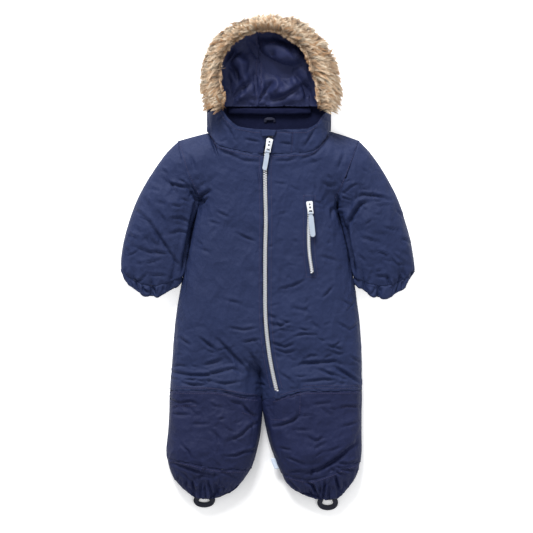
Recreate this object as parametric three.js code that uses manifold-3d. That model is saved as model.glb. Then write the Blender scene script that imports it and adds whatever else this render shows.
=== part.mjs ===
// A baby's padded snowsuit, laid flat on its back with the zip closed and the fur-edged hood open.
// Millimetres. +X is the photo's right (the wearer's left), +Y runs to the hood, +Z is up from the surface.
// "Right" and "left" in names are the wearer's, so the right pieces are at negative X.

import * as THREE from "three";
import { mergeVertices } from "three/addons/utils/BufferGeometryUtils.js";
import Module from "manifold-3d";

// Driving dimensions
const SEAM_GAP = 0.3;             // between two sewn pieces
const CURVED_GAP = 0.9;           // between two pieces whose seam is curved and faceted differently
const SEAM_Z = 12;                // height of the side seams above the surface
const EDGE = 3;                   // height of a seam edge above and below the seam
const FRONT_ROUND = 44;           // how far in from a seam the front rises to its full height
const BACK_ROUND = 15;            // how far in from a seam the back reaches the surface
const PADDING = 6.5;              // thickness of the quilted wall
const BACK_PADDING = 5.5;
const MOUTH_WALL = 2.5;           // thickness of the wall at cuffs and hems
const ZIP_EDGE = 2.5;             // thickness of the front beside the zip
const CHAIN_WIDTH = 6;
const ZIP_OPENING = 3.4;          // from the middle of the zip to each front edge
const TAPE_HALF = 9;
const TAPE_INNER = 2.5;           // where the tape bends down under the chain
const PLACKET_REACH = 14;         // where the thin placket starts to grow to the full padding
const PLACKET_END = -226;         // below the zip the padding is whole again
const ARMPIT_Y = { right: 101, left: 91 };
const SLEEVE_END_Y = -62;         // no sleeve lies lower than this
const CROTCH = { x: -10.4, y: -175 };
const RIM_Z = 38;                 // height of the hood's rim
const HOOD_SEAM_Y = 251;          // where the hood lining meets the collar band
const BACK_NECK_Y = 209;          // back neck seam

// Side seams, from the armpits down to the ankle seams
const sideRows = [
  { y: 101, right: -107.5, left: 109 },
  { y: 56, right: -120, left: 123.5 },
  { y: 16, right: -126.5, left: 132 },
  { y: -20, right: -134, left: 139 },
  { y: -60, right: -141.6, left: 144.8 },
  { y: -92, right: -146.4, left: 149.6 },
  { y: -140, right: -150.4, left: 152.8 },
  { y: -204, right: -154.4, left: 152.8 },
  { y: -268, right: -157.6, left: 152.8 },
  { y: -300, right: -160.8, left: 152.8 },
  { y: -318, right: -159.2, left: 151.2 },
  { y: -334, right: -155.5, left: 147.6 },
  { y: -349, right: -148.8, left: 142 },
  { y: -363, right: -134.5, left: 130 },
  { y: -375, right: -121, left: 120 },
];
// Inner leg seams
const innerRows = [
  { y: -175, right: -10.4, left: -10.4 },
  { y: -188, right: -10.9, left: -8.4 },
  { y: -220, right: -9.6, left: -5.6 },
  { y: -246, right: -7.6, left: -4 },
  { y: -268, right: -9.3, left: 0.6 },
  { y: -284, right: -12, left: 3 },
  { y: -300, right: -15, left: 8.8 },
  { y: -316, right: -20, left: 15 },
  { y: -332, right: -25, left: 21.6 },
  { y: -348, right: -36, left: 28 },
  { y: -364, right: -50, left: 40 },
  { y: -371, right: -60, left: 52 },
  { y: -377, right: -77, left: 77 },
];
// Middle of the main zip: straight over the chest, swinging to the wearer's left at both ends
const zipLine = { x: -2.2, upperFrom: 150, upperSwing: 0.0031, lowerFrom: -60, lowerSwing: 0.00089,
  wave: 1.2, waveY: 68, waveReach: 34 };
// Upper edges of the body: shoulders and neck seam at the front, shoulders and neck at the back
const shoulderRows = [
  { x: -142, front: 194.5, back: 194.5 },
  { x: -92, front: 208, back: 208 },
  { x: -80, front: 188, back: BACK_NECK_Y },
  { x: -58, front: 182, back: BACK_NECK_Y },
  { x: -27, front: 174.5, back: BACK_NECK_Y },
  { x: 0, front: 172, back: BACK_NECK_Y },
  { x: 44, front: 174.5, back: BACK_NECK_Y },
  { x: 69, front: 175.5, back: BACK_NECK_Y },
  { x: 82, front: 184, back: BACK_NECK_Y },
  { x: 103, front: 210, back: 210 },
  { x: 149, front: 195, back: 195 },
];
// Upper edge of the two chin pieces
const collarRows = [
  { x: -95, top: 240 },
  { x: -79, top: 244.5 },
  { x: -71, top: 244 },
  { x: -63, top: 230 },
  { x: -46, top: 215.5 },
  { x: -18, top: 211.5 },
  { x: 14, top: 211 },
  { x: 66, top: 212 },
  { x: 82, top: 221 },
  { x: 89, top: 234 },
  { x: 94, top: 239 },
  { x: 103, top: 239 },
];
// Knee and ankle seams: height at the outer side of each leg, and smooth steps across it
const legSeams = {
  knee: { base: -205, steps: [{ from: -90, to: -10, drop: 12 }, { from: -10, to: -6, drop: 4 },
    { from: -6, to: 66, drop: -16 }] },
  ankle: { base: -315, steps: [{ from: -160, to: -60, drop: 16 }, { from: -12, to: 12, drop: 2 },
    { from: -6, to: 76, drop: 16 }, { from: 60, to: 160, drop: -29 }] },
};
// Sleeves: outer edge and the y of the inner edge, which lies along the body's side
const sleeves = {
  right: {
    stations: [
      { outerX: -142, outerY: 194.5, innerY: 100.8 },
      { outerX: -158, outerY: 180, innerY: 93 },
      { outerX: -174, outerY: 158, innerY: 83 },
      { outerX: -190, outerY: 134, innerY: 71 },
      { outerX: -203, outerY: 112, innerY: 58 },
      { outerX: -214, outerY: 87, innerY: 44 },
      { outerX: -223, outerY: 60, innerY: 28 },
      { outerX: -230, outerY: 34, innerY: 12 },
      { outerX: -234, outerY: 10, innerY: -3 },
      { outerX: -234.6, outerY: -9, innerY: -14 },
    ],
    armholeBow: 6.5,
    sleeveEnd: { x: -234.6, y: -9, innerY: -14, bow: 26 },
    cuffEnd: { x: -227, y: -27, innerY: -25, bow: 27 },
  },
  left: {
    stations: [
      { outerX: 149, outerY: 195, innerY: 91 },
      { outerX: 164, outerY: 180, innerY: 85 },
      { outerX: 178, outerY: 161, innerY: 77 },
      { outerX: 191, outerY: 141, innerY: 67 },
      { outerX: 203, outerY: 119, innerY: 55 },
      { outerX: 213, outerY: 98, innerY: 42 },
      { outerX: 223, outerY: 66, innerY: 26 },
      { outerX: 231, outerY: 40, innerY: 10 },
      { outerX: 236, outerY: 12, innerY: -4 },
      { outerX: 238, outerY: -11, innerY: -15 },
    ],
    armholeBow: -1,
    sleeveEnd: { x: 238, y: -11, innerY: -15, bow: 25 },
    cuffEnd: { x: 227, y: -31, innerY: -27, bow: 26 },
  },
};
// Full height of the padded front over the surface
const bodyHeights = [
  { y: 210, height: 46 },
  { y: 100, height: 47 },
  { y: -60, height: 45 },
  { y: -200, height: 43 },
  { y: -310, height: 43 },
  { y: -345, height: 36 },
  { y: -380, height: 23 },
];
const sleeveHeights = [
  { y: 200, height: 43 },
  { y: 60, height: 43 },
  { y: 0, height: 37 },
  { y: -34, height: 27 },
  { y: -60, height: 24 },
];
// Largest folds: a trough is negative, a ridge positive; reach is half the width across the fold
const folds = [
  { x1: -210, y1: 86, x2: -172, y2: 40, depth: -6, reach: 11 },
  { x1: -186, y1: 24, x2: -140, y2: -2, depth: -5, reach: 9 },
  { x1: -219, y1: 24, x2: -184, y2: 11, depth: -5, reach: 8 },
  { x1: -165, y1: 135, x2: -112, y2: 106, depth: -6, reach: 12 },
  { x1: -190, y1: 112, x2: -150, y2: 92, depth: 3, reach: 14 },
  { x1: -162, y1: 50, x2: -126, y2: 53, depth: -5, reach: 9 },
  { x1: -108, y1: 101, x2: -88, y2: 116, depth: -7, reach: 9 },
  { x1: 134, y1: 92, x2: 164, y2: 103, depth: -6, reach: 10 },
  { x1: 170, y1: 134, x2: 200, y2: 129, depth: -5, reach: 9 },
  { x1: 182, y1: 17, x2: 206, y2: 6, depth: -5, reach: 9 },
  { x1: 188, y1: 82, x2: 214, y2: 66, depth: 3, reach: 13 },
  { x1: 150, y1: 48, x2: 176, y2: 40, depth: -4, reach: 10 },
  { x1: 108, y1: 92, x2: 94, y2: 112, depth: -7, reach: 9 },
  { x1: -54, y1: 46, x2: -22, y2: 35, depth: -4, reach: 10 },
  { x1: 30, y1: -49, x2: 66, y2: -34, depth: -4, reach: 10 },
  { x1: 12, y1: -137, x2: 56, y2: -151, depth: -6, reach: 9 },
  { x1: 44, y1: -163, x2: 108, y2: -156, depth: -6, reach: 10 },
  { x1: 106, y1: -156, x2: 146, y2: -186, depth: -6, reach: 10 },
  { x1: -105, y1: -126, x2: -80, y2: -156, depth: -5, reach: 10 },
  { x1: -79, y1: -128, x2: -43, y2: -152, depth: -5, reach: 10 },
  { x1: -137, y1: -173, x2: -60, y2: -158, depth: -6, reach: 10 },
  { x1: -60, y1: -158, x2: -26, y2: -172, depth: -5, reach: 9 },
  { x1: 54, y1: -200, x2: 53, y2: -244, depth: -4, reach: 9 },
  { x1: -154, y1: -230, x2: -112, y2: -229, depth: -5, reach: 9 },
  { x1: -44, y1: -239, x2: -16, y2: -246, depth: -5, reach: 9 },
  { x1: 120, y1: -231, x2: 153, y2: -232, depth: -5, reach: 9 },
  { x1: 6, y1: -252, x2: 35, y2: -251, depth: -5, reach: 9 },
  { x1: 153, y1: -292, x2: 64, y2: -338, depth: -8, reach: 11 },
  { x1: 140, y1: -280, x2: 70, y2: -318, depth: 4, reach: 13 },
  { x1: -156, y1: -303, x2: -110, y2: -316, depth: 4, reach: 10 },
  { x1: -96, y1: 150, x2: -60, y2: 168, depth: -3, reach: 12 },
  { x1: 96, y1: 152, x2: 50, y2: 163, depth: -3, reach: 12 },
];

// Small helpers
const lerp = (a, b, t) => a + (b - a) * t;
const clamp = (value, low, high) => Math.min(Math.max(value, low), high);
const smooth = (t) => {
  const c = clamp(t, 0, 1);
  return c * c * (3 - 2 * c);
};
const rise = (t) => Math.sqrt(1 - (1 - clamp(t, 0, 1)) ** 2);

function lookUp(rows, key, at, column) {
  const down = rows[0][key] > rows[rows.length - 1][key];
  const past = (row) => (down ? at >= row[key] : at <= row[key]);
  if (past(rows[0])) return rows[0][column];
  const next = rows.findIndex(past);
  if (next < 0) return rows[rows.length - 1][column];
  const a = rows[next - 1];
  const b = rows[next];
  return lerp(a[column], b[column], (at - a[key]) / (b[key] - a[key]));
}

const sideX = (y, side) => lookUp(sideRows, "y", y, side);
const innerX = (y, side) => lookUp(innerRows, "y", y, side);
const zipX = (y) => zipLine.x
  + zipLine.upperSwing * Math.max(y - zipLine.upperFrom, 0) ** 2
  + zipLine.lowerSwing * Math.max(zipLine.lowerFrom - y, 0) ** 2
  + zipLine.wave * Math.exp(-(((y - zipLine.waveY) / zipLine.waveReach) ** 2));
const armpitY = (x) => lerp(100.8, ARMPIT_Y.left, smooth((x + 107) / 219));
const seamAcross = (seam, x) => seam.base
  - seam.steps.reduce((sum, step) => sum + step.drop * smooth((x - step.from) / (step.to - step.from)), 0);
const kneeY = (x) => seamAcross(legSeams.knee, x);
const ankleY = (x) => seamAcross(legSeams.ankle, x);

// The seams that lie low, at the garment's own outline
const lowSeams = [
  sideRows.map((r) => [r.right, r.y]),
  sideRows.map((r) => [r.left, r.y]),
  innerRows.map((r) => [r.right, r.y]),
  innerRows.map((r) => [r.left, r.y]),
  [[-95, 242], [-95, 213], [-92, 208], ...sleeves.right.stations.map((s) => [s.outerX, s.outerY]), [-227, -32]],
  [[103, 242], [103, 210], ...sleeves.left.stations.map((s) => [s.outerX, s.outerY]), [228, -34]],
];

function segmentDistance(x, y, [ax, ay], [bx, by]) {
  const lengthSquared = (bx - ax) ** 2 + (by - ay) ** 2;
  const t = clamp(((x - ax) * (bx - ax) + (y - ay) * (by - ay)) / lengthSquared, 0, 1);
  return Math.hypot(x - lerp(ax, bx, t), y - lerp(ay, by, t));
}

function seamDistance(x, y) {
  let nearest = Infinity;
  for (const seam of lowSeams) {
    for (let i = 1; i < seam.length; i += 1) {
      nearest = Math.min(nearest, segmentDistance(x, y, seam[i - 1], seam[i]));
    }
  }
  return nearest;
}

function foldDepth(x, y) {
  let sum = 0;
  for (const f of folds) {
    const across = segmentDistance(x, y, [f.x1, f.y1], [f.x2, f.y2]) / f.reach;
    sum += f.depth * Math.exp(-across * across);
  }
  return sum;
}

function fullHeight(x, y) {
  const body = lookUp(bodyHeights, "y", y, "height");
  const sleeve = lookUp(sleeveHeights, "y", y, "height");
  const side = x < 0 ? -sideX(y, "right") : sideX(y, "left");
  if (y > armpitY(x)) return lerp(body, sleeve, smooth((Math.abs(x) - 100) / 50));
  return Math.abs(x) > side && y > SLEEVE_END_Y ? sleeve : body;
}

// The padding thins out beside the zip
function padding(x, y) {
  if (y < PLACKET_END) return PADDING;
  const away = Math.abs(x - zipX(y));
  return lerp(ZIP_EDGE, PADDING, smooth((away - PLACKET_REACH) / PLACKET_REACH));
}

// Heights of the front wall's outside and inside, and of the back wall's outside and inside
function frontOutside(x, y) {
  const lift = rise(seamDistance(x, y) / FRONT_ROUND);
  return SEAM_Z + EDGE + (fullHeight(x, y) - SEAM_Z - EDGE) * lift + foldDepth(x, y) * lift;
}
function frontInside(x, y) {
  const wall = padding(x, y);
  const lift = rise((seamDistance(x, y) - PADDING) / (FRONT_ROUND - PADDING));
  const low = SEAM_Z + SEAM_GAP / 2;
  const inside = low + (fullHeight(x, y) - PADDING - low) * lift + foldDepth(x, y) * lift;
  return Math.min(inside + (PADDING - wall) * lift, frontOutside(x, y) - Math.min(wall, EDGE - SEAM_GAP));
}
function backOutside(x, y) {
  return (SEAM_Z - EDGE) * (1 - rise(seamDistance(x, y) / BACK_ROUND));
}
function backInside(x, y) {
  const low = SEAM_Z - SEAM_GAP / 2;
  return low - (low - BACK_PADDING) * rise((seamDistance(x, y) - BACK_PADDING) / BACK_ROUND);
}

// A closed wall between an outer and an inner layer of points that share one list of quads.
// Every edge used by one quad only is a rim, and joins the two layers.
function wall(outer, inner, quads) {
  const positions = [...outer, ...inner].flatMap((p) => [p.x, p.y, p.z]);
  const shift = outer.length;
  const index = [];
  const uses = new Map();
  for (const quad of quads) {
    const [a, b, c, d] = quad;
    index.push(a, b, c, a, c, d);
    index.push(a + shift, c + shift, b + shift, a + shift, d + shift, c + shift);
    quad.forEach((from, k) => {
      const to = quad[(k + 1) % 4];
      uses.set(`${from}_${to}`, [from, to]);
    });
  }
  for (const [from, to] of uses.values()) {
    if (uses.has(`${to}_${from}`)) continue;
    index.push(from, from + shift, to + shift, from, to + shift, to);
  }
  const geometry = new THREE.BufferGeometry();
  geometry.setAttribute("position", new THREE.Float32BufferAttribute(positions, 3));
  geometry.setIndex(index);
  return geometry;
}

// Quads of a grid that is stored row by row; a closed grid joins its last column to its first
function gridQuads(rows, columns, closed = false) {
  const quads = [];
  for (let i = 0; i + 1 < rows; i += 1) {
    for (let j = 0; j + (closed ? 0 : 1) < columns; j += 1) {
      const k = (j + 1) % columns;
      quads.push([i * columns + j, (i + 1) * columns + j, (i + 1) * columns + k, i * columns + k]);
    }
  }
  return quads;
}

const group = new THREE.Group();

function addPiece(name, geometry, color, roughness = 0.6, metalness = 0, parent = group) {
  const material = new THREE.MeshStandardMaterial({ color, roughness, metalness });
  const mesh = new THREE.Mesh(geometry, material);
  mesh.name = name;
  parent.add(mesh);
  return mesh;
}

// Colours
const SHELL = "#30395c";
const PANEL = "#282e55";
const LINING = "#1e2248";
const FUR = "#bfa27f";
const ZIP_WHITE = "#d9dbe0";
const ELASTIC = "#14172a";
const TAB = "#c3ccda";

// Columns across one half of the front, as distances in from the side seam, then shares of the rest
const SIDE_INSETS = [0, 4, 10, 20, 34, 50];
const MIDDLE_COLUMNS = 4;
const TOP_ROWS = 5;
const BODY_ROWS = 17;
const FORK_ROWS = 3;
const CROTCH_SHARE = 0.87;
// The same columns where they meet the shoulder and neck seam
const topColumns = {
  right: [-142, -136, -127, -112, -92, -80, -60, -42, -25, CROTCH.x],
  left: [149, 143, 134, 120, 103, 82, 69, 53, 36, 16],
};
const armholes = {
  right: { shoulder: -142, armpit: -107.5 },
  left: { shoulder: 149, armpit: 112 },
};

// x of column j of one half, at height y on the body or leg
function halfColumn(side, j, y, middle) {
  const inward = side === "right" ? 1 : -1;
  const edge = y > ARMPIT_Y.right ? armholes[side].armpit : sideX(y, side);
  const last = SIDE_INSETS.length - 1;
  if (j <= last) return edge + inward * SIDE_INSETS[j];
  return lerp(edge + inward * SIDE_INSETS[last], middle, (j - last) / MIDDLE_COLUMNS);
}

// A point in the block above the armpits: v runs from the shoulder to the armpit
function yokePoint(side, v, topX, lowX, edgeKey, share) {
  const topY = lookUp(shoulderRows, "x", topX, edgeKey);
  const bow = sleeves[side].armholeBow * 4 * v * (1 - v) * (1 - share);
  const x = lerp(topX, lowX, v) + (side === "right" ? -bow : bow);
  return [x, lerp(topY, armpitY(lowX), v)];
}

// One half of the front, from shoulder and neck seam to the knee seam.
// The wearer's right half crosses the crotch line and runs on to the zip, so its lower end is forked.
function frontHalf(side) {
  const forked = side === "right";
  const columns = SIDE_INSETS.length + MIDDLE_COLUMNS;
  const extra = forked ? 2 : 1;
  const middleAt = (y) => (forked ? CROTCH.x : zipX(y) + PLACKET_REACH);
  const zipEdge = (y) => zipX(y) + (forked ? -ZIP_OPENING : ZIP_OPENING);
  const plan = [];
  for (let i = 0; i <= TOP_ROWS; i += 1) {
    const v = i / TOP_ROWS;
    const row = [];
    for (let j = 0; j < columns; j += 1) {
      const lowX = halfColumn(side, j, ARMPIT_Y.right, middleAt(100));
      row.push(yokePoint(side, v, topColumns[side][j], lowX, "front", j / columns));
    }
    const [middleX, middleY] = row[columns - 1];
    for (let j = 1; j <= extra; j += 1) {
      row.push([lerp(middleX, zipEdge(middleY), j / extra), middleY - (1 - v) * (forked ? 1.5 : 1) * (j / extra)]);
    }
    plan.push(row);
  }
  for (let i = 1; i <= BODY_ROWS + FORK_ROWS; i += 1) {
    const inFork = i > BODY_ROWS;
    const share = inFork
      ? lerp(CROTCH_SHARE, 1, (i - BODY_ROWS) / FORK_ROWS)
      : (CROTCH_SHARE * i) / BODY_ROWS;
    const rowAt = (x) => lerp(armpitY(x), kneeY(x) + CURVED_GAP / 2, share);
    const row = [];
    for (let j = 0; j < columns; j += 1) {
      const level = rowAt(topColumns[side][j]);
      const middle = forked && inFork ? innerX(level, "right") : middleAt(level);
      const x = halfColumn(side, j, level, middle);
      row.push([x, rowAt(x)]);
    }
    const forkX = forked && inFork ? innerX(rowAt(-8), "left") : row[columns - 1][0];
    if (forked && inFork) row.push([forkX, rowAt(forkX)]);
    for (let j = 1; j <= extra; j += 1) {
      const edge = zipEdge(rowAt(zipEdge(rowAt(forkX))));
      const x = lerp(forkX, edge, j / extra);
      row.push([x, rowAt(x)]);
    }
    plan.push(row);
  }
  return { plan, columns, forked };
}

// Numbers the points of a plan whose fork rows hold the crotch column twice, and lists its quads
function forkedWall(plan, columns, heights, forkFrom, flip) {
  const numbers = [];
  const points = [];
  plan.forEach((row) => {
    numbers.push(row.map((p) => points.push(p) - 1));
  });
  const quads = [];
  for (let i = 0; i + 1 < plan.length; i += 1) {
    const upper = numbers[i];
    const lower = numbers[i + 1];
    const split = i + 1 > forkFrom;
    const wide = plan[0].length;
    for (let j = 0; j + 1 < wide; j += 1) {
      const right = j >= columns - 1;
      const up = (k) => upper[k + (right && i > forkFrom ? 1 : 0)];
      const low = (k) => lower[k + (right && split ? 1 : 0)];
      const quad = [up(j), low(j), low(j + 1), up(j + 1)];
      quads.push(flip ? quad.reverse() : quad);
    }
  }
  const outer = points.map(([x, y]) => new THREE.Vector3(x, y, heights.outside(x, y)));
  const inner = points.map(([x, y]) => new THREE.Vector3(x, y, heights.inside(x, y)));
  return wall(outer, inner, quads);
}

const FRONT = { outside: frontOutside, inside: frontInside };
const BACK = { outside: backOutside, inside: backInside };
const NEVER = 1000;

const fronts = {};
for (const side of ["right", "left"]) {
  const { plan, columns, forked } = frontHalf(side);
  const forkFrom = forked ? TOP_ROWS + BODY_ROWS : NEVER;
  fronts[side] = addPiece(`front_${side}`, forkedWall(plan, columns, FRONT, forkFrom, !forked), SHELL);
}

// Knee panels: rows from the knee seam to the ankle seam, columns from the outer to the inner seam
const KNEE_ROWS = 8;
const KNEE_COLUMNS = 12;
const KNEE_INSETS = [0, 4, 10, 20, 34];
const MID_KNEE_Y = -260;
function legPoint(side, share, column, fromY, toY) {
  const insets = KNEE_INSETS;
  const count = KNEE_COLUMNS;
  const outward = side === "right" ? -1 : 1;
  const middle = (sideX(MID_KNEE_Y, side) + innerX(MID_KNEE_Y, side)) / 2;
  const rough = lerp(fromY(middle), toY(middle), share);
  const outer = sideX(rough, side);
  const inner = innerX(rough, side);
  let x = lerp(outer, inner, column / (count - 1));
  if (column < insets.length) x = outer - outward * insets[column];
  if (count - 1 - column < insets.length) x = inner + outward * insets[count - 1 - column];
  const level = lerp(fromY(x), toY(x), share);
  if (column === 0) x = sideX(level, side);
  if (column === count - 1) x = innerX(level, side);
  return [x, lerp(fromY(x), toY(x), share)];
}
for (const side of ["right", "left"]) {
  const plan = [];
  for (let i = 0; i <= KNEE_ROWS; i += 1) {
    const row = [];
    for (let j = 0; j < KNEE_COLUMNS; j += 1) {
      const from = (x) => kneeY(x) - CURVED_GAP / 2;
      const to = (x) => ankleY(x) + CURVED_GAP / 2;
      row.push(legPoint(side, i / KNEE_ROWS, j, from, to));
    }
    plan.push(row);
  }
  addPiece(`knee_${side}`, forkedWall(plan, KNEE_COLUMNS, FRONT, NEVER, side === "left"), PANEL);
}

// The back: one piece from the neck to both ankle seams, forked below the crotch
const BACK_INSETS = [0, 5, 12, 24, 46];
const BACK_MIDDLE = 2;
const BACK_TOP_ROWS = 4;
const BACK_BODY_ROWS = 11;
const BACK_LEG_ROWS = 8;
const BACK_LEG_FOOT = -325;
const backTops = {
  right: [-142, -132, -115, -92, -70, -40, CROTCH.x],
  left: [149, 137, 121, 103, 80, 45, CROTCH.x],
};
function backColumn(side, j, y, middle) {
  const inward = side === "right" ? 1 : -1;
  const edge = y > ARMPIT_Y.right ? armholes[side].armpit : sideX(y, side);
  const last = BACK_INSETS.length - 1;
  if (j <= last) return edge + inward * BACK_INSETS[j];
  return lerp(edge + inward * BACK_INSETS[last], middle, (j - last) / BACK_MIDDLE);
}
function backPlan() {
  const half = BACK_INSETS.length + BACK_MIDDLE;
  const plan = [];
  const rowOf = (point, split) => {
    const right = Array.from({ length: half }, (_, j) => point("right", j));
    const left = Array.from({ length: half }, (_, j) => point("left", j)).reverse();
    return [...right, ...(split ? left : left.slice(1))];
  };
  for (let i = 0; i <= BACK_TOP_ROWS; i += 1) {
    const v = i / BACK_TOP_ROWS;
    plan.push(rowOf((side, j) => {
      const lowX = backColumn(side, j, ARMPIT_Y.right, CROTCH.x);
      return yokePoint(side, v, backTops[side][j], lowX, "back", j / (half - 1));
    }, false));
  }
  for (let i = 1; i <= BACK_BODY_ROWS; i += 1) {
    plan.push(rowOf((side, j) => {
      const level = lerp(armpitY(backTops[side][j]), CROTCH.y, i / BACK_BODY_ROWS);
      return [backColumn(side, j, level, CROTCH.x), level];
    }, false));
  }
  for (let i = 1; i <= BACK_LEG_ROWS; i += 1) {
    plan.push(rowOf((side, j) => {
      const rough = lerp(CROTCH.y, BACK_LEG_FOOT, i / BACK_LEG_ROWS);
      const x = backColumn(side, j, rough, innerX(rough, side));
      const y = lerp(CROTCH.y, ankleY(x) + CURVED_GAP / 2, i / BACK_LEG_ROWS);
      if (j === 0) return [sideX(y, side), y];
      return [j === half - 1 ? innerX(y, side) : x, y];
    }, true));
  }
  return { plan, half };
}
const back = backPlan();
addPiece("back", forkedWall(back.plan, back.half, BACK, BACK_TOP_ROWS + BACK_BODY_ROWS, true), SHELL);

// A tube laid flat: rows along it, and round it the front from edge to edge, then the back.
// place(s, u) gives the plan point, gather(s, u) lifts the front into gathers,
// and mouth(s) thins the wall from 0, full padding, to 1, a plain hem.
function flatTube(rows, across, place, gather = () => 0, mouth = () => 0) {
  const outer = [];
  const inner = [];
  const ring = (s, pushTo, inset, top, bottom) => {
    const edgeA = new THREE.Vector2(...place(s, 0));
    const edgeB = new THREE.Vector2(...place(s, 1));
    const trim = inset / edgeA.distanceTo(edgeB);
    const at = (k) => lerp(trim, 1 - trim, spread(k / across));
    for (let k = 0; k <= across; k += 1) {
      const [x, y] = place(s, at(k));
      pushTo.push(new THREE.Vector3(x, y, top(x, y) + gather(s, at(k))));
    }
    for (let k = across; k >= 0; k -= 1) {
      const [x, y] = place(s, at(k));
      pushTo.push(new THREE.Vector3(x, y, bottom(x, y)));
    }
  };
  for (let i = 0; i <= rows; i += 1) {
    const thin = mouth(i / rows);
    const insideTop = (x, y) => lerp(Math.max(frontInside(x, y), SEAM_Z + 1.5), frontOutside(x, y) - MOUTH_WALL, thin);
    const insideBottom = (x, y) => lerp(Math.min(backInside(x, y), SEAM_Z - 1.5), backOutside(x, y) + MOUTH_WALL, thin);
    ring(i / rows, outer, 0, frontOutside, backOutside);
    ring(i / rows, inner, lerp(PADDING - 1, MOUTH_WALL + 0.5, thin), insideTop, insideBottom);
  }
  return wall(outer, inner, gridQuads(rows + 1, 2 * across + 2, true).map((q) => q.reverse()));
}
// Columns lie closer together towards the two edges
const spread = (t) => t - 0.11 * Math.sin(2 * Math.PI * t);

function reversed(geometry) {
  const index = geometry.getIndex();
  for (let i = 0; i < index.count; i += 3) {
    const a = index.getX(i);
    index.setX(i, index.getX(i + 1));
    index.setX(i + 1, a);
  }
  return geometry;
}

function facingOut(geometry) {
  const p = geometry.getAttribute("position");
  const index = geometry.getIndex();
  const [a, b, c] = [new THREE.Vector3(), new THREE.Vector3(), new THREE.Vector3()];
  let volume = 0;
  for (let i = 0; i < index.count; i += 3) {
    a.fromBufferAttribute(p, index.getX(i));
    b.fromBufferAttribute(p, index.getX(i + 1));
    c.fromBufferAttribute(p, index.getX(i + 2));
    volume += a.dot(b.cross(c));
  }
  return volume < 0 ? reversed(geometry) : geometry;
}

// Plan point on a bowed line between two edge points
function bowed(outer, inner, bow, u) {
  return [lerp(outer[0], inner[0], u), lerp(outer[1], inner[1], u) - bow * 4 * u * (1 - u)];
}

// Sleeves: tubes from the armhole to the gathered cuff seam; cuffs: short gathered bands
const SLEEVE_ACROSS = 10;
const SLEEVE_ROWS = 9;
const CUFF_ACROSS = 20;
const CUFF_ROWS = 2;
const CUFF_WAVES = 5;
const SLEEVE_CLEAR = 0.45;
for (const side of ["right", "left"]) {
  const outward = side === "right" ? -1 : 1;
  const { stations, armholeBow, sleeveEnd, cuffEnd } = sleeves[side];
  const innerPoint = (y) => {
    const { right: high, left: low } = ARMPIT_Y;
    const armhole = lerp(armholes[side].armpit, sideX(low, side), clamp((high - y) / (high - low), 0, 1));
    return [(y > low ? armhole : sideX(y, side)) + outward * SLEEVE_CLEAR, y];
  };
  const lineAt = (s) => {
    const position = clamp(s, 0, 1) * (stations.length - 1);
    const i = Math.min(Math.floor(position), stations.length - 2);
    const t = position - i;
    const a = stations[i];
    const b = stations[i + 1];
    return {
      outer: [lerp(a.outerX, b.outerX, t), lerp(a.outerY, b.outerY, t)],
      inner: innerPoint(lerp(a.innerY, b.innerY, t)),
    };
  };
  const place = (s, u) => {
    const { outer, inner } = lineAt(s);
    const [x, y] = bowed(outer, inner, sleeveEnd.bow * s ** 3, u);
    const armhole = armholeBow * 4 * u * (1 - u) * (1 - s) ** 4;
    return [x + outward * (armhole + SEAM_GAP * (1 - s)), y];
  };
  const sleeveGather = (s, u) => {
    const grow = smooth((s - 0.72) / 0.28);
    return grow * 1.6 * Math.sin(2 * Math.PI * CUFF_WAVES * 0.5 * u + 1) * rise(Math.min(u, 1 - u) * 5);
  };
  addPiece(`sleeve_${side}`, facingOut(flatTube(SLEEVE_ROWS, SLEEVE_ACROSS, place, sleeveGather)), SHELL);
  const cuffPlace = (s, u) => {
    const outer = [lerp(sleeveEnd.x, cuffEnd.x, s), lerp(sleeveEnd.y - 1, cuffEnd.y, s)];
    const inner = innerPoint(lerp(sleeveEnd.innerY - 1, cuffEnd.innerY, s));
    const [x, y] = bowed(outer, inner, lerp(sleeveEnd.bow, cuffEnd.bow, s), u);
    return [x, y - SEAM_GAP];
  };
  const cuffGather = (s, u) => 1.8 * Math.sin(2 * Math.PI * CUFF_WAVES * u) * rise(Math.min(u, 1 - u) * 5);
  addPiece(`cuff_${side}`, facingOut(flatTube(CUFF_ROWS, CUFF_ACROSS, cuffPlace, cuffGather, () => 1)), SHELL);
}

// Ankles: gathered tubes from the ankle seam to the elastic hem
const ANKLE_ACROSS = 18;
const ANKLE_ROWS = 4;
const ANKLE_WAVES = 4;
const hems = {
  right: { outerX: -121, innerX: -77, outerY: -374, innerY: -376, bow: 3 },
  left: { outerX: 120, innerX: 77, outerY: -375, innerY: -377, bow: 4 },
};
for (const side of ["right", "left"]) {
  const hem = hems[side];
  const place = (s, u) => {
    const seamOuter = sideX(ankleY(side === "right" ? -160 : 153), side);
    const seamInner = innerX(ankleY(side === "right" ? -24 : 22), side);
    const outerY = lerp(ankleY(seamOuter), hem.outerY, s);
    const innerY = lerp(ankleY(seamInner), hem.innerY, s);
    const outerX = s < 1 ? sideX(outerY, side) : hem.outerX;
    const endX = s < 1 ? innerX(innerY, side) : hem.innerX;
    const x = lerp(outerX, endX, u);
    const seamX = lerp(seamOuter, seamInner, u);
    const hemY = lerp(hem.outerY, hem.innerY, u) - hem.bow * 4 * u * (1 - u);
    return [x, lerp(ankleY(seamX), hemY, s) - CURVED_GAP / 2];
  };
  const gather = (s, u) => smooth((s - 0.25) / 0.75) * 2 * Math.sin(2 * Math.PI * ANKLE_WAVES * u)
    * rise(Math.min(u, 1 - u) * 5);
  addPiece(`ankle_${side}`, facingOut(flatTube(ANKLE_ROWS, ANKLE_ACROSS, place, gather, smooth)), PANEL);
}

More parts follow.
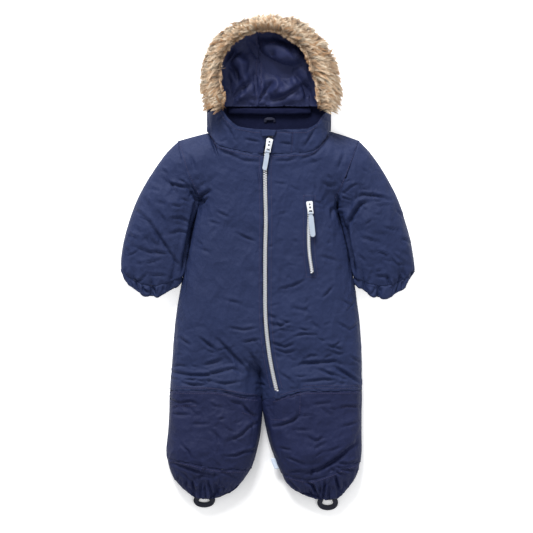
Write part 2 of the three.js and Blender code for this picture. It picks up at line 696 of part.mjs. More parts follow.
// Chin pieces of the collar: from the neck seam up to the throat edge
const COLLAR_ROWS = 4;
const collarColumns = {
  right: [-95, -91, -86, -79, -71, -63, -54, -46, -32, -18, -5],
  left: [103, 99, 94, 88, 82, 74, 66, 54, 40, 26, 13],
};
const COLLAR_LIFT = 4;
const COLLAR_WALL = 4.5;
const COLLAR_ZIP_GAP = ZIP_OPENING + 1.4;
const collarSideY = { right: 209.5, left: 211.5 };
for (const side of ["right", "left"]) {
  const points = [];
  collarColumns[side].forEach((x, j) => {
    const last = j === collarColumns[side].length - 1;
    for (let i = 0; i <= COLLAR_ROWS; i += 1) {
      const v = i / COLLAR_ROWS;
      const sideY = collarSideY[side];
      const seamY = j === 0 ? sideY : Math.min(lookUp(shoulderRows, "x", x, "front"), sideY);
      const y = lerp(seamY + SEAM_GAP + 0.4, lookUp(collarRows, "x", x, "top"), v);
      const zipSide = zipX(y) + (side === "right" ? -COLLAR_ZIP_GAP : COLLAR_ZIP_GAP);
      points.push({ x: last ? zipSide : x, y, v });
    }
  });
  const outside = (p) => frontOutside(p.x, p.y) + COLLAR_LIFT * p.v * rise(seamDistance(p.x, p.y) / 30);
  const outer = points.map((p) => new THREE.Vector3(p.x, p.y, outside(p)));
  const inner = points.map((p) => {
    const low = Math.max(SEAM_Z + SEAM_GAP / 2, outside(p) - COLLAR_WALL);
    return new THREE.Vector3(p.x, p.y, Math.min(low, outside(p) - 2));
  });
  const quads = gridQuads(collarColumns[side].length, COLLAR_ROWS + 1);
  addPiece(`collar_${side}`, facingOut(wall(outer, inner, quads)), SHELL);
}

// The band at the back of the neck, between the back and the hood
const BAND_COLUMNS = 10;
const BAND_ROWS = 4;
const bandEnds = { right: -95, left: 103 };
{
  const points = [];
  for (let i = 0; i <= BAND_ROWS; i += 1) {
    for (let j = 0; j <= BAND_COLUMNS; j += 1) {
      const edge = lerp(bandEnds.right, bandEnds.left, j / BAND_COLUMNS);
      const backEdge = Math.max(lookUp(shoulderRows, "x", edge, "back"), BACK_NECK_Y);
      points.push([edge, lerp(backEdge + 1.2 + SEAM_GAP, HOOD_SEAM_Y - SEAM_GAP, i / BAND_ROWS)]);
    }
  }
  const edgeDistance = (x) => Math.min(x - bandEnds.right, bandEnds.left - x);
  const below = (x) => (SEAM_Z - EDGE) * (1 - rise(edgeDistance(x) / BACK_ROUND));
  const outer = points.map(([x, y]) => new THREE.Vector3(x, y, below(x)));
  const inner = points.map(([x, y]) => {
    const round = rise((edgeDistance(x) - 4) / BACK_ROUND);
    return new THREE.Vector3(x, y, lerp(SEAM_Z - SEAM_GAP / 2, BACK_PADDING, round));
  });
  addPiece("collar_back", facingOut(wall(outer, inner, gridQuads(BAND_ROWS + 1, BAND_COLUMNS + 1))), LINING);
}

// Hood. Each station of the rim gives the inner and the outer edge of the fur.
const furRows = [
  { innerX: -68, innerY: 252, outerX: -99, outerY: 247 },
  { innerX: -65, innerY: 263, outerX: -104, outerY: 262 },
  { innerX: -71, innerY: 286, outerX: -107, outerY: 286 },
  { innerX: -73, innerY: 311, outerX: -105, outerY: 312 },
  { innerX: -68, innerY: 329, outerX: -101, outerY: 337 },
  { innerX: -55, innerY: 347, outerX: -86, outerY: 362 },
  { innerX: -36, innerY: 361, outerX: -60, outerY: 384 },
  { innerX: -14, innerY: 368, outerX: -24, outerY: 395 },
  { innerX: 6, innerY: 368, outerX: 12, outerY: 397.5 },
  { innerX: 23, innerY: 364, outerX: 44, outerY: 395 },
  { innerX: 41, innerY: 353, outerX: 72, outerY: 382 },
  { innerX: 57, innerY: 338, outerX: 96, outerY: 360 },
  { innerX: 65, innerY: 321, outerX: 112, outerY: 333 },
  { innerX: 71, innerY: 304, outerX: 119, outerY: 305 },
  { innerX: 78, innerY: 287, outerX: 121, outerY: 283 },
  { innerX: 79, innerY: 270, outerX: 121, outerY: 264 },
  { innerX: 82, innerY: 252, outerX: 115, outerY: 246 },
];
const RIM_SHARE = 0.42;      // where the hood's rim lies between the fur's inner and outer edge
const HOOD_WALL = 3;
const LINING_WALL = 2.2;
const hoodCentre = { x: -12, y: HOOD_SEAM_Y + SEAM_GAP };

// The rim's outline in plan, evenly numbered from the right end to the left end
const rimCurve = new THREE.CatmullRomCurve3(furRows.map((f) => {
  const y = lerp(f.innerY, f.outerY, RIM_SHARE);
  return new THREE.Vector3(lerp(f.innerX, f.outerX, RIM_SHARE), Math.max(y, HOOD_SEAM_Y + SEAM_GAP), 0);
}));

// The hood's profile down from the rim: inset from the rim's outline, and height
const shellProfile = [
  { inset: 0, z: RIM_Z },
  { inset: -2.5, z: 26 },
  { inset: -1, z: 14 },
  { inset: 6, z: 4 },
  { inset: 16, z: 0 },
];
const liningProfile = [
  { inset: 4, z: RIM_Z },
  { inset: 5, z: 30 },
  { inset: 9, z: 21 },
  { inset: 17, z: 15 },
  { inset: 27, z: 12 },
];
const FLOOR_STEPS = 4;

// Swells and hollows of the lining where the hood has sunk in
const liningSwells = [
  { x: 22, y: 338, rise: 17, reachX: 34, reachY: 17 },
  { x: -42, y: 306, rise: 10, reachX: 20, reachY: 20 },
  { x: 44, y: 290, rise: 9, reachX: 24, reachY: 22 },
  { x: -6, y: 312, rise: -4, reachX: 30, reachY: 8 },
  { x: -20, y: 274, rise: 5, reachX: 22, reachY: 10 },
];
function liningLift(x, y) {
  let sum = 0;
  for (const s of liningSwells) {
    sum += s.rise * Math.exp(-(((x - s.x) / s.reachX) ** 2) - ((y - s.y) / s.reachY) ** 2);
  }
  return sum;
}

// One half of the hood tray, from station share a to b; thickness is laid inwards
function hoodHalf(profile, from, to, baseFrom, baseTo, columns, thickness, lift) {
  const outer = [];
  const inner = [];
  for (let k = 0; k <= columns; k += 1) {
    const share = lerp(from, to, k / columns);
    const rim = rimCurve.getPointAt(share);
    const tangent = rimCurve.getTangentAt(share);
    const end = share === 0 || share === 1;
    const out = end ? new THREE.Vector3(share === 0 ? -1 : 1, 0, 0) : new THREE.Vector3(-tangent.y, tangent.x, 0);
    out.normalize();
    const base = new THREE.Vector3(lerp(baseFrom, baseTo, k / columns), hoodCentre.y, 0);
    const rows = profile.map((p) => rim.clone().addScaledVector(out, -p.inset).setZ(p.z));
    const foot = rows[rows.length - 1];
    for (let i = 1; i <= FLOOR_STEPS; i += 1) {
      rows.push(foot.clone().lerp(base.clone().setZ(foot.z), i / FLOOR_STEPS));
    }
    rows.forEach((p, i) => {
      p.y = Math.max(p.y, hoodCentre.y);
      const before = rows[Math.max(i - 1, 0)];
      const after = rows[Math.min(i + 1, rows.length - 1)];
      const flat = i >= profile.length;
      const steep = new THREE.Vector2(Math.hypot(after.x - before.x, after.y - before.y), before.z - after.z);
      steep.normalize();
      const raised = lift ? liningLift(p.x, p.y) * smooth((i - 1) / 4) : 0;
      const into = i === 0 ? 1 : steep.y;
      const up = i === 0 ? 0 : Math.max(steep.x, 0);
      const q = p.clone();
      if (!flat) q.addScaledVector(out, -into * thickness);
      q.z += thickness * (flat ? 1 : up);
      q.y = Math.max(q.y, hoodCentre.y);
      outer.push(p.setZ(p.z + raised));
      inner.push(q.setZ(q.z + raised));
    });
  }
  return wall(outer, inner, gridQuads(columns + 1, profile.length + FLOOR_STEPS));
}
const HOOD_COLUMNS = 9;
const CENTRE_SHARE = 0.455;
const halfSeam = 0.0006;
const hoodParts = [
  { name: "hood", profile: shellProfile, thickness: HOOD_WALL, color: SHELL, lift: false },
  { name: "hood_lining", profile: liningProfile, thickness: LINING_WALL, color: LINING, lift: true },
];
for (const { name, profile, thickness, color, lift } of hoodParts) {
  const middle = hoodCentre.x;
  const halves = [
    { side: "right", from: 0, to: CENTRE_SHARE - halfSeam, baseFrom: -62, baseTo: middle - 0.2 },
    { side: "left", from: CENTRE_SHARE + halfSeam, to: 1, baseFrom: middle + 0.2, baseTo: 72 },
  ];
  for (const h of halves) {
    const geometry = hoodHalf(profile, h.from, h.to, h.baseFrom, h.baseTo, HOOD_COLUMNS, thickness, lift);
    addPiece(`${name}_${h.side}`, facingOut(geometry), color, lift ? 0.4 : 0.6);
  }
}

// Fur trim: a closed tufted roll along the rim, as wide and high as its hairs reach
const FUR_LOW = RIM_Z + SEAM_GAP;
const FUR_HIGH = 70;
const FUR_STEPS = 34;
const furSection = [
  { across: 0, up: 0.45 },
  { across: 0.1, up: 0.8 },
  { across: 0.32, up: 1 },
  { across: 0.6, up: 0.97 },
  { across: 0.85, up: 0.72 },
  { across: 1, up: 0.32 },
  { across: 0.93, up: 0.04 },
  { across: 0.7, up: 0 },
  { across: 0.3, up: 0 },
  { across: 0.08, up: 0.12 },
];
{
  const curveOf = (xKey, yKey) => new THREE.CatmullRomCurve3(
    furRows.map((f) => new THREE.Vector3(f[xKey], f[yKey], 0)));
  const innerCurve = curveOf("innerX", "innerY");
  const outerCurve = curveOf("outerX", "outerY");
  const positions = [];
  const sides = furSection.length;
  for (let i = 0; i <= FUR_STEPS; i += 1) {
    const t = i / FUR_STEPS;
    const a = innerCurve.getPoint(t);
    const b = outerCurve.getPoint(t);
    const tuft = i % 2 === 0 ? 0 : 0.05;
    const endTaper = lerp(0.45, 1, rise(Math.min(t, 1 - t) * 14));
    for (const f of furSection) {
      const across = lerp(0.5, f.across, endTaper) - (f.across > 0.5 ? tuft : -tuft * 0.4);
      const p = a.clone().lerp(b, across);
      positions.push(p.x, p.y, lerp(FUR_LOW, FUR_HIGH, f.up * endTaper * (1 - tuft)));
    }
  }
  const index = [];
  for (let i = 0; i < FUR_STEPS; i += 1) {
    for (let j = 0; j < sides; j += 1) {
      const k = (j + 1) % sides;
      const [a, b, c, d] = [i * sides + j, (i + 1) * sides + j, (i + 1) * sides + k, i * sides + k];
      index.push(a, b, c, a, c, d);
    }
  }
  for (const start of [0, FUR_STEPS * sides]) {
    const middle = positions.length / 3;
    let [x, y, z] = [0, 0, 0];
    for (let j = 0; j < sides; j += 1) {
      x += positions[(start + j) * 3] / sides;
      y += positions[(start + j) * 3 + 1] / sides;
      z += positions[(start + j) * 3 + 2] / sides;
    }
    positions.push(x, y, z);
    for (let j = 0; j < sides; j += 1) {
      const pair = [start + j, start + ((j + 1) % sides)];
      if (start > 0) pair.reverse();
      index.push(middle, ...pair);
    }
  }
  const geometry = new THREE.BufferGeometry();
  geometry.setAttribute("position", new THREE.Float32BufferAttribute(positions, 3));
  geometry.setIndex(index);
  addPiece("fur_trim", facingOut(geometry), FUR, 0.9);
}

// Height of the highest face of a piece over a plan point, so that what lies on it follows its facets
const caster = new THREE.Raycaster();
function heightOn(mesh, x, y, otherwise = frontOutside(x, y)) {
  mesh.material.side = THREE.DoubleSide;
  caster.set(new THREE.Vector3(x, y, 200), new THREE.Vector3(0, 0, -1));
  const hits = caster.intersectObject(mesh);
  return hits.length > 0 ? hits[0].point.z : otherwise;
}

// A strip through rows of { y or point, z } across, made of two long edges or more
function strip(rows, thickness) {
  const width = rows[0].length;
  const outer = rows.flat();
  const inner = outer.map((p) => new THREE.Vector3(p.x, p.y, p.z - thickness));
  return facingOut(wall(outer, inner, gridQuads(rows.length, width)));
}

// Main zip: tape under both front edges, and the closed chain between them
const ZIP_TOP = 203;
const ZIP_BOTTOM = -204;
const ZIP_ROWS = 28;
const CHAIN_TOP = 0.3;         // the chain's top below the cloth beside it
const CHAIN_THICK = 1.8;
const CHAIN_CROWN = 0.3;
const TAPE_THICK = 1;
const TAPE_CLEAR = 1.6;
const THROAT_FROM = 174;       // the collar rises over the zip from here
const THROAT_REACH = 38;
const COLLAR_FROM = 160;       // above this the cloth over the tape is the collar's
const range = (from, to, steps) => Array.from({ length: steps + 1 }, (_, i) => lerp(from, to, i / steps));
const zipLevels = range(ZIP_TOP, ZIP_BOTTOM, ZIP_ROWS);
const throatLift = (y) => COLLAR_LIFT * clamp((y - THROAT_FROM) / THROAT_REACH, 0, 1);
const zipSurface = (y) => throatLift(y)
  + Math.min(frontOutside(zipX(y) - ZIP_OPENING, y), frontOutside(zipX(y) + ZIP_OPENING, y));
const underCloth = (x, y) => (y > COLLAR_FROM ? frontOutside(x, y) - COLLAR_WALL : frontInside(x, y)) - TAPE_CLEAR;
const tapeHalf = (y) => lerp(TAPE_HALF, TAPE_HALF * 0.6, smooth((-130 - y) / 40));
addPiece("zip_tape", strip(zipLevels.map((y) => [-tapeHalf(y), -TAPE_INNER, TAPE_INNER, tapeHalf(y)].map((dx) => {
  const x = zipX(y) + dx;
  const underChain = zipSurface(y) - CHAIN_TOP - CHAIN_CROWN - CHAIN_THICK - SEAM_GAP;
  return new THREE.Vector3(x, y, Math.min(underCloth(x, y), underChain));
})), TAPE_THICK), ELASTIC, 0.8);
addPiece("zip_chain", strip(zipLevels.map((y) => [-CHAIN_WIDTH / 2, 0, CHAIN_WIDTH / 2].map((dx) => {
  return new THREE.Vector3(zipX(y) + dx, y, zipSurface(y) - CHAIN_TOP - (dx === 0 ? 0 : CHAIN_CROWN));
})), CHAIN_THICK), ZIP_WHITE, 0.4);

// Zip garage: a small cloth hood over the zip's top end
const GARAGE_LIFT = 2;
const GARAGE_CROWN = 1.2;
const GARAGE_THICK = 1.4;
const garageRows = [
  { y: 211, left: -7.5, right: 15.5 },
  { y: 206, left: -7.8, right: 14.5 },
  { y: 201.5, left: -6.8, right: 12 },
];
const onCollar = (x, y) => {
  const right = heightOn(group.getObjectByName("collar_right"), x, y);
  const left = heightOn(group.getObjectByName("collar_left"), x, y);
  return Math.max(right, left, frontOutside(x, y) + COLLAR_LIFT);
};
addPiece("zip_garage", strip(garageRows.map((g) => [0, 0.33, 0.67, 1].map((t) => {
  const x = lerp(g.left, g.right, t);
  const crown = GARAGE_CROWN * Math.sin(Math.PI * t);
  return new THREE.Vector3(x, g.y, onCollar(x, g.y) + GARAGE_LIFT + crown);
})), GARAGE_THICK), SHELL);

// Chest pocket: a welt with a short zip, lying on the wearer's left front
const pocketRows = [
  { y: 99, x: 68.2 },
  { y: 78, x: 68 },
  { y: 52, x: 66.9 },
  { y: 26, x: 67.3 },
  { y: 8, x: 69 },
  { y: -17, x: 72.8 },
];
const pocketX = (y) => lookUp(pocketRows, "y", y, "x");
const POCKET_CHAIN = 5.6;
const POCKET_CHAIN_THICK = 1.4;
const POCKET_LIFT = 0.5;
const WELT_THICK = 1;
function onFront(y, offsets, lift) {
  return offsets.map((dx) => {
    const x = pocketX(y) + dx;
    return new THREE.Vector3(x, y, heightOn(fronts.left, x, y) + lift);
  });
}
addPiece("pocket_tape", strip(range(110, -26, 30).map((y) => {
  return onFront(y, [-7, -3, 3, 7], POCKET_LIFT + WELT_THICK);
}), WELT_THICK), SHELL);
const pocketChainLift = POCKET_LIFT * 2 + WELT_THICK + POCKET_CHAIN_THICK;
addPiece("pocket_chain", strip(range(96, -17, 26).map((y) => {
  return onFront(y, [-POCKET_CHAIN / 2, 0, POCKET_CHAIN / 2], pocketChainLift);
}), POCKET_CHAIN_THICK), ZIP_WHITE, 0.4);

// Solids that are joined or cut
const wasm = await Module();
wasm.setup();
function toSolid(geometry, matrix = new THREE.Matrix4()) {
  const plain = geometry.clone().applyMatrix4(matrix);
  plain.deleteAttribute("normal");
  plain.deleteAttribute("uv");
  const merged = mergeVertices(plain, 1e-4);
  return new wasm.Manifold(new wasm.Mesh({
    numProp: 3,
    vertProperties: new Float32Array(merged.getAttribute("position").array),
    triVerts: new Uint32Array(merged.getIndex().array),
  }));
}
function toGeometry(solid) {
  const mesh = solid.getMesh();
  const geometry = new THREE.BufferGeometry();
  geometry.setAttribute("position", new THREE.Float32BufferAttribute(mesh.vertProperties, 3));
  geometry.setIndex(new THREE.Uint32BufferAttribute(mesh.triVerts, 1));
  return geometry;
}

// Sliders and pull tabs. A slider lies along -Y from its own origin, with two ears and a pin at its lower end.
const SLIDER_THICK = 3.2;
const CROWN_THICK = 1.6;
const SLIDER_CLEAR = 0.5;
const PIN_RADIUS = 0.7;
const EYE_RADIUS = 1.9;
const EYE_BORE = 1.2;
const EAR = 1.1;
const EAR_GAP = 0.4;
const TAB_THICK = 1.4;
const PIN_REACH = 2.6;       // from the slider's end to the pin
const PIN_RISE = 2.5;        // pin above the slider's underside
const CORNER = 1.5;          // cut off a slider's upper corners

function roundedPlan(width, length, endWidth, radius) {
  const shape = new THREE.Shape();
  shape.moveTo(-width / 2, 0);
  shape.lineTo(-endWidth / 2, -length + radius);
  shape.quadraticCurveTo(-endWidth / 2, -length, -endWidth / 2 + radius, -length);
  shape.lineTo(endWidth / 2 - radius, -length);
  shape.quadraticCurveTo(endWidth / 2, -length, endWidth / 2, -length + radius);
  shape.lineTo(width / 2, 0);
  shape.lineTo(width / 2 - CORNER, CORNER);
  shape.lineTo(-width / 2 + CORNER, CORNER);
  shape.closePath();
  return shape;
}

function sliderGeometry({ width, length, tabWidth }) {
  const body = new THREE.ExtrudeGeometry(roundedPlan(width, length, width * 0.8, 1), {
    depth: SLIDER_THICK, bevelEnabled: false, curveSegments: 3,
  });
  let solid = toSolid(body);
  const crown = new THREE.ExtrudeGeometry(roundedPlan(width * 0.45, length - 4, width * 0.45, 1.2), {
    depth: CROWN_THICK, bevelEnabled: false, curveSegments: 3,
  });
  solid = solid.add(toSolid(crown, new THREE.Matrix4().makeTranslation(0, -2, SLIDER_THICK - 0.2)));
  for (const sign of [-1, 1]) {
    const ear = new THREE.BoxGeometry(EAR, PIN_REACH + 2.6, PIN_RISE + 1);
    const x = sign * (tabWidth / 2 + EAR_GAP + EAR / 2);
    const place = new THREE.Matrix4().makeTranslation(x, -length - PIN_REACH / 2 + 0.2, (PIN_RISE + 1.4) / 2);
    solid = solid.add(toSolid(ear, place));
  }
  const pinLength = tabWidth + 2 * EAR_GAP + EAR;
  const pin = new THREE.CylinderGeometry(PIN_RADIUS, PIN_RADIUS, pinLength, 10);
  const pinPlace = new THREE.Matrix4().makeTranslation(0, -length - PIN_REACH, PIN_RISE)
    .multiply(new THREE.Matrix4().makeRotationZ(Math.PI / 2));
  return toGeometry(solid.add(toSolid(pin, pinPlace)));
}

// A tab hangs from the pin at its own origin and lies along -Y; its eye is cut through along X
function tabGeometry({ tabWidth, tabLength, endWidth }) {
  const side = new THREE.Shape();
  const neck = Math.sqrt(EYE_RADIUS ** 2 - (TAB_THICK / 2) ** 2);
  side.moveTo(-TAB_THICK / 2, -tabLength);
  side.lineTo(TAB_THICK / 2, -tabLength);
  side.lineTo(TAB_THICK / 2, -neck);
  const start = Math.atan2(-neck, TAB_THICK / 2);
  side.absarc(0, 0, EYE_RADIUS, start, Math.PI - start, false);
  side.closePath();
  const bore = new THREE.Path();
  bore.absarc(0, 0, EYE_BORE, 0, 2 * Math.PI, false);
  side.holes.push(bore);
  const profile = new THREE.ExtrudeGeometry(side, { depth: endWidth, bevelEnabled: false, curveSegments: 8 });
  const standing = new THREE.Matrix4().makeTranslation(endWidth / 2, 0, 0)
    .multiply(new THREE.Matrix4().makeRotationY(-Math.PI / 2));
  const outline = new THREE.Shape();
  const half = endWidth / 2;
  outline.moveTo(-tabWidth / 2, EYE_RADIUS + 1);
  outline.lineTo(-tabWidth / 2, -EYE_RADIUS - 2);
  outline.lineTo(-half, -EYE_RADIUS - 4);
  outline.lineTo(-half, -tabLength + half);
  outline.absarc(0, -tabLength + half, half - 0.01, Math.PI, 2 * Math.PI, false);
  outline.lineTo(half, -EYE_RADIUS - 4);
  outline.lineTo(tabWidth / 2, -EYE_RADIUS - 2);
  outline.lineTo(tabWidth / 2, EYE_RADIUS + 1);
  outline.closePath();
  const plan = new THREE.ExtrudeGeometry(outline, { depth: 8, bevelEnabled: false, curveSegments: 6 });
  const below = new THREE.Matrix4().makeTranslation(0, 0, -4);
  return toGeometry(toSolid(profile, standing).intersect(toSolid(plan, below)));
}

const pulls = [
  {
    slider: "zip_slider", tab: "zip_pull", x: 5.2, y: 196, slant: -10,
    width: 10.5, length: 17, tabWidth: 6, tabLength: 30, endWidth: 7.4, tilt: 2,
    carriers: ["zip_chain", "collar_right", "collar_left"],
  },
  {
    slider: "pocket_slider", tab: "pocket_pull", x: 68.3, y: 96, slant: 6,
    width: 10.5, length: 15, tabWidth: 6, tabLength: 38, endWidth: 8.2, tilt: 0,
    carriers: ["pocket_chain", "pocket_tape"],
  },
];
for (const p of pulls) {
  const holder = new THREE.Group();
  const under = p.carriers.map((name) => group.getObjectByName(name));
  const footprint = range(0, -p.length, 6).flatMap((dy) => range(-p.width / 2, p.width / 2, 4).map((dx) => [dx, dy]));
  const tan = Math.tan(THREE.MathUtils.degToRad(p.slant));
  const tall = footprint.map(([dx, dy]) => Math.max(...under.map((m) => heightOn(m, p.x + dx - dy * tan, p.y + dy, 0))));
  holder.position.set(p.x, p.y, Math.max(...tall) + SLIDER_CLEAR);
  holder.rotation.set(THREE.MathUtils.degToRad(p.tilt), 0, THREE.MathUtils.degToRad(p.slant), "ZXY");
  group.add(holder);
  addPiece(p.slider, sliderGeometry(p), ZIP_WHITE, 0.35, 0, holder);
  const tab = addPiece(p.tab, tabGeometry(p), TAB, 0.4, 0, holder);
  tab.position.set(0, -p.length - PIN_REACH, PIN_RISE);
}

// A flat band swept along a curve, as wide as given and lying flat
function band(points, width, thickness, steps) {
  const curve = new THREE.CatmullRomCurve3(points.map((p) => new THREE.Vector3(p.x, p.y, p.z)));
  const upper = [];
  const lower = [];
  for (let i = 0; i <= steps; i += 1) {
    const p = curve.getPoint(i / steps);
    const along = curve.getTangent(i / steps);
    const across = new THREE.Vector3(-along.y, along.x, 0).normalize();
    const up = new THREE.Vector3().crossVectors(along, across).normalize();
    for (const sign of [-1, 1]) {
      const q = p.clone().addScaledVector(across, (sign * width) / 2);
      upper.push(q.clone().addScaledVector(up, thickness / 2));
      lower.push(q.clone().addScaledVector(up, -thickness / 2));
    }
  }
  return facingOut(wall(upper, lower, gridQuads(steps + 1, 2)));
}

// Elastic stirrups, sewn inside the hems and lying on the surface
const STIRRUP_WIDTH = 6.5;
const STIRRUP_THICK = 1.8;
const STIRRUP_LOW = STIRRUP_THICK / 2 + 0.35;
const HEM_LEVEL = 5.6;
const stirrups = {
  right: { from: -114, to: -86.5, foot: -390.5 },
  left: { from: 85.5, to: 111.5, foot: -395 },
};
for (const side of ["right", "left"]) {
  const { from, to, foot } = stirrups[side];
  const route = [
    { x: from + 4, y: -364, z: HEM_LEVEL },
    { x: from + 3, y: -379, z: HEM_LEVEL },
    { x: from, y: foot + 8.5, z: 3.4 },
    { x: from + 3.5, y: foot + 2.4, z: STIRRUP_LOW },
    { x: (from + to) / 2, y: foot, z: STIRRUP_LOW },
    { x: to - 3.5, y: foot + 2.4, z: STIRRUP_LOW },
    { x: to, y: foot + 8.5, z: 3.4 },
    { x: to - 3, y: -379, z: HEM_LEVEL },
    { x: to - 4, y: -364, z: HEM_LEVEL },
  ];
  addPiece(`stirrup_${side}`, band(route, STIRRUP_WIDTH, STIRRUP_THICK, 24), ELASTIC, 0.8);
}

// Hanger loop on the neck band, and the blank tab in the inner leg seam
addPiece("hanger_loop", band([
  { x: -2, y: 226, z: BACK_PADDING + 1.2 },
  { x: -1, y: 230, z: BACK_PADDING + 2.4 },
  { x: 5.5, y: 231, z: BACK_PADDING + 3 },
  { x: 12, y: 230, z: BACK_PADDING + 2.4 },
  { x: 13, y: 226, z: BACK_PADDING + 1.2 },
], 3, 1, 12), ELASTIC, 0.7);
const LABEL = { top: -315, bottom: -331, reach: 7, z: SEAM_Z + 1 };
addPiece("seam_tab", strip(range(LABEL.top, LABEL.bottom, 3).map((y) => {
  const edge = innerX(y, "left") - SEAM_GAP - 0.1;
  return [new THREE.Vector3(edge - LABEL.reach, y, LABEL.z), new THREE.Vector3(edge, y, LABEL.z)];
}), 1), TAB, 0.6);

// The origin is the middle of the outline in plan, on the surface that the back lies on
group.updateMatrixWorld(true);
const reach = new THREE.Box3().setFromObject(group, true);
const centre = reach.getCenter(new THREE.Vector3());
group.position.set(-centre.x, -centre.y, -reach.min.z);

export default group;
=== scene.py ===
# %% [markdown]
# # A baby's padded snowsuit, laid flat
#
# The garment lies on its back with its zip closed and its hood open. The CAD model holds every cut piece
# as a closed wall with the true outline. This script dresses those walls: it smooths them, adds the
# creases and the puckered seams, sews the stitches, sets the zip's teeth, grows the fur and mixes the
# finishes. Each piece is a copy of its own CAD wall or sits on one, in the CAD frame.

import math
import random
from collections import namedtuple

import bmesh
import bpy
import numpy as np
from mathutils import Matrix, Vector, noise
from mathutils.bvhtree import BVHTree
from mathutils.kdtree import KDTree


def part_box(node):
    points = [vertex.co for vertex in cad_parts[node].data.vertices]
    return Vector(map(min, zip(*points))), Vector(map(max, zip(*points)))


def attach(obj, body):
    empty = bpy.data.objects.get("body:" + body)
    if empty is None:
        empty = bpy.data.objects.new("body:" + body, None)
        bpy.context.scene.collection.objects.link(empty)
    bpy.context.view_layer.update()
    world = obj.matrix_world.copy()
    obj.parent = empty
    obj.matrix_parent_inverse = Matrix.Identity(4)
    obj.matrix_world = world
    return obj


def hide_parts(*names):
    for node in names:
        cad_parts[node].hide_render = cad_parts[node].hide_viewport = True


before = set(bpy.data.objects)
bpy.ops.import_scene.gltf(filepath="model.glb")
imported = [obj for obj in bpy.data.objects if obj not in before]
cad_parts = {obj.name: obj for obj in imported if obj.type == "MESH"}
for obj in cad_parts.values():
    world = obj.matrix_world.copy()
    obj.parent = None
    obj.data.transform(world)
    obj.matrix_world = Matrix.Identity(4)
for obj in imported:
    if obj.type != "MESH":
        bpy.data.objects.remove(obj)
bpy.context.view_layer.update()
scene = bpy.context.scene
MM = 0.001
ORIGIN = Vector((-1.7 * MM, 0.49 * MM, 0))     # where the garment's drawing origin lies in the frame


def at(x, y):
    """A plan point of the garment's drawing, given in millimetres, in the frame."""
    return Vector((x * MM, y * MM, 0)) + ORIGIN


def drawn(p):
    """The x and y of a point of the frame in the drawing, in millimetres."""
    return (p.x - ORIGIN.x) / MM, (p.y - ORIGIN.y) / MM


def add(name, data):
    """A new object of the scene. It stays at the origin unless it is moved."""
    made = bpy.data.objects.new(name, data)
    scene.collection.objects.link(made)
    return made


def shade_smooth(mesh):
    mesh.polygons.foreach_set("use_smooth", [True] * len(mesh.polygons))


# %% [markdown]
# ## Camera and light
#
# The photo looks straight down. One of its pixels is 1.6 mm on the garment, so the picture is 0.853 m
# wide. A long lens from high above keeps the sleeves from leaning outwards. The light is a bright even
# sky, a soft lamp low beyond the hood, which models the folds, and a weak one from the other side.

# %% Camera
MM_PER_PIXEL = 1.6
PICTURE = 533
PHOTO_CENTRE = Vector((266.5, 266.5))
DRAWING_ORIGIN = Vector((266.5, 262.5))        # the photo's pixel at the drawing's origin
CLOTH_LEVEL = 0.03
CAMERA_HEIGHT = 4.2
SENSOR = 36.0

shift = (PHOTO_CENTRE - DRAWING_ORIGIN) * MM_PER_PIXEL
aim = at(shift.x, -shift.y)
camera_data = bpy.data.cameras.new("camera")
camera_data.sensor_width = SENSOR
camera_data.lens = SENSOR * (CAMERA_HEIGHT - CLOTH_LEVEL) / (PICTURE * MM_PER_PIXEL * MM)
scene.camera = add("camera", camera_data)
scene.camera.location = (aim.x, aim.y, CAMERA_HEIGHT)
print("lens", round(camera_data.lens, 1), "mm")

# %% Light and colour
SKY_COLOUR = (0.985, 0.99, 1.0, 1)
SKY_STRENGTH = 0.7
scene.view_settings.view_transform = "Standard"
scene.world = bpy.data.worlds.new("studio")
scene.world.use_nodes = True
sky = scene.world.node_tree.nodes["Background"]
sky.inputs["Color"].default_value = SKY_COLOUR
sky.inputs["Strength"].default_value = SKY_STRENGTH

Lamp = namedtuple("Lamp", "name x y z size power")
lamps = [
    Lamp("key", -0.8, 3.2, 2.0, 1.6, 205),
    Lamp("fill", 2.2, -1.6, 2.8, 2.0, 22),
]
for lamp in lamps:
    data = bpy.data.lights.new(lamp.name, "AREA")
    data.shape = "DISK"
    data.size = lamp.size
    data.energy = lamp.power
    light = add(lamp.name, data)
    light.location = (lamp.x, lamp.y, lamp.z)
    light.rotation_mode = "QUATERNION"
    light.rotation_quaternion = (-light.location).to_track_quat("-Z", "Y")
print(len(lamps), "lamps")

# %% [markdown]
# ## Writing shaders as sums
#
# A finish is easier to read as an expression than as a pile of nodes. `Value` wraps a socket, and its
# operators add Math nodes. Colours are mixed by `blend`, because a Math node would turn a colour grey.


# %% A small class for shader maths
class Value:
    """A socket that can be added, multiplied and so on, in the tree of one material."""

    def __init__(self, tree, socket):
        self.tree = tree
        self.socket = socket

    def maths(self, operation, *others):
        node = self.tree.nodes.new("ShaderNodeMath")
        node.operation = operation
        for slot, item in zip(node.inputs, (self, *others)):
            plug(self.tree, slot, item)
        return Value(self.tree, node.outputs[0])

    def __add__(self, other):
        return self.maths("ADD", other)

    __radd__ = __add__

    def __sub__(self, other):
        return self.maths("SUBTRACT", other)

    def __mul__(self, other):
        return self.maths("MULTIPLY", other)

    def __pow__(self, other):
        return self.maths("POWER", other)


def plug(tree, slot, item):
    """Links a Value to a socket, or sets the socket to a constant."""
    if isinstance(item, Value):
        tree.links.new(item.socket, slot)
    else:
        slot.default_value = item


WAVE = 6.28                 # from the width of a yarn or rib to the scale of its wave texture


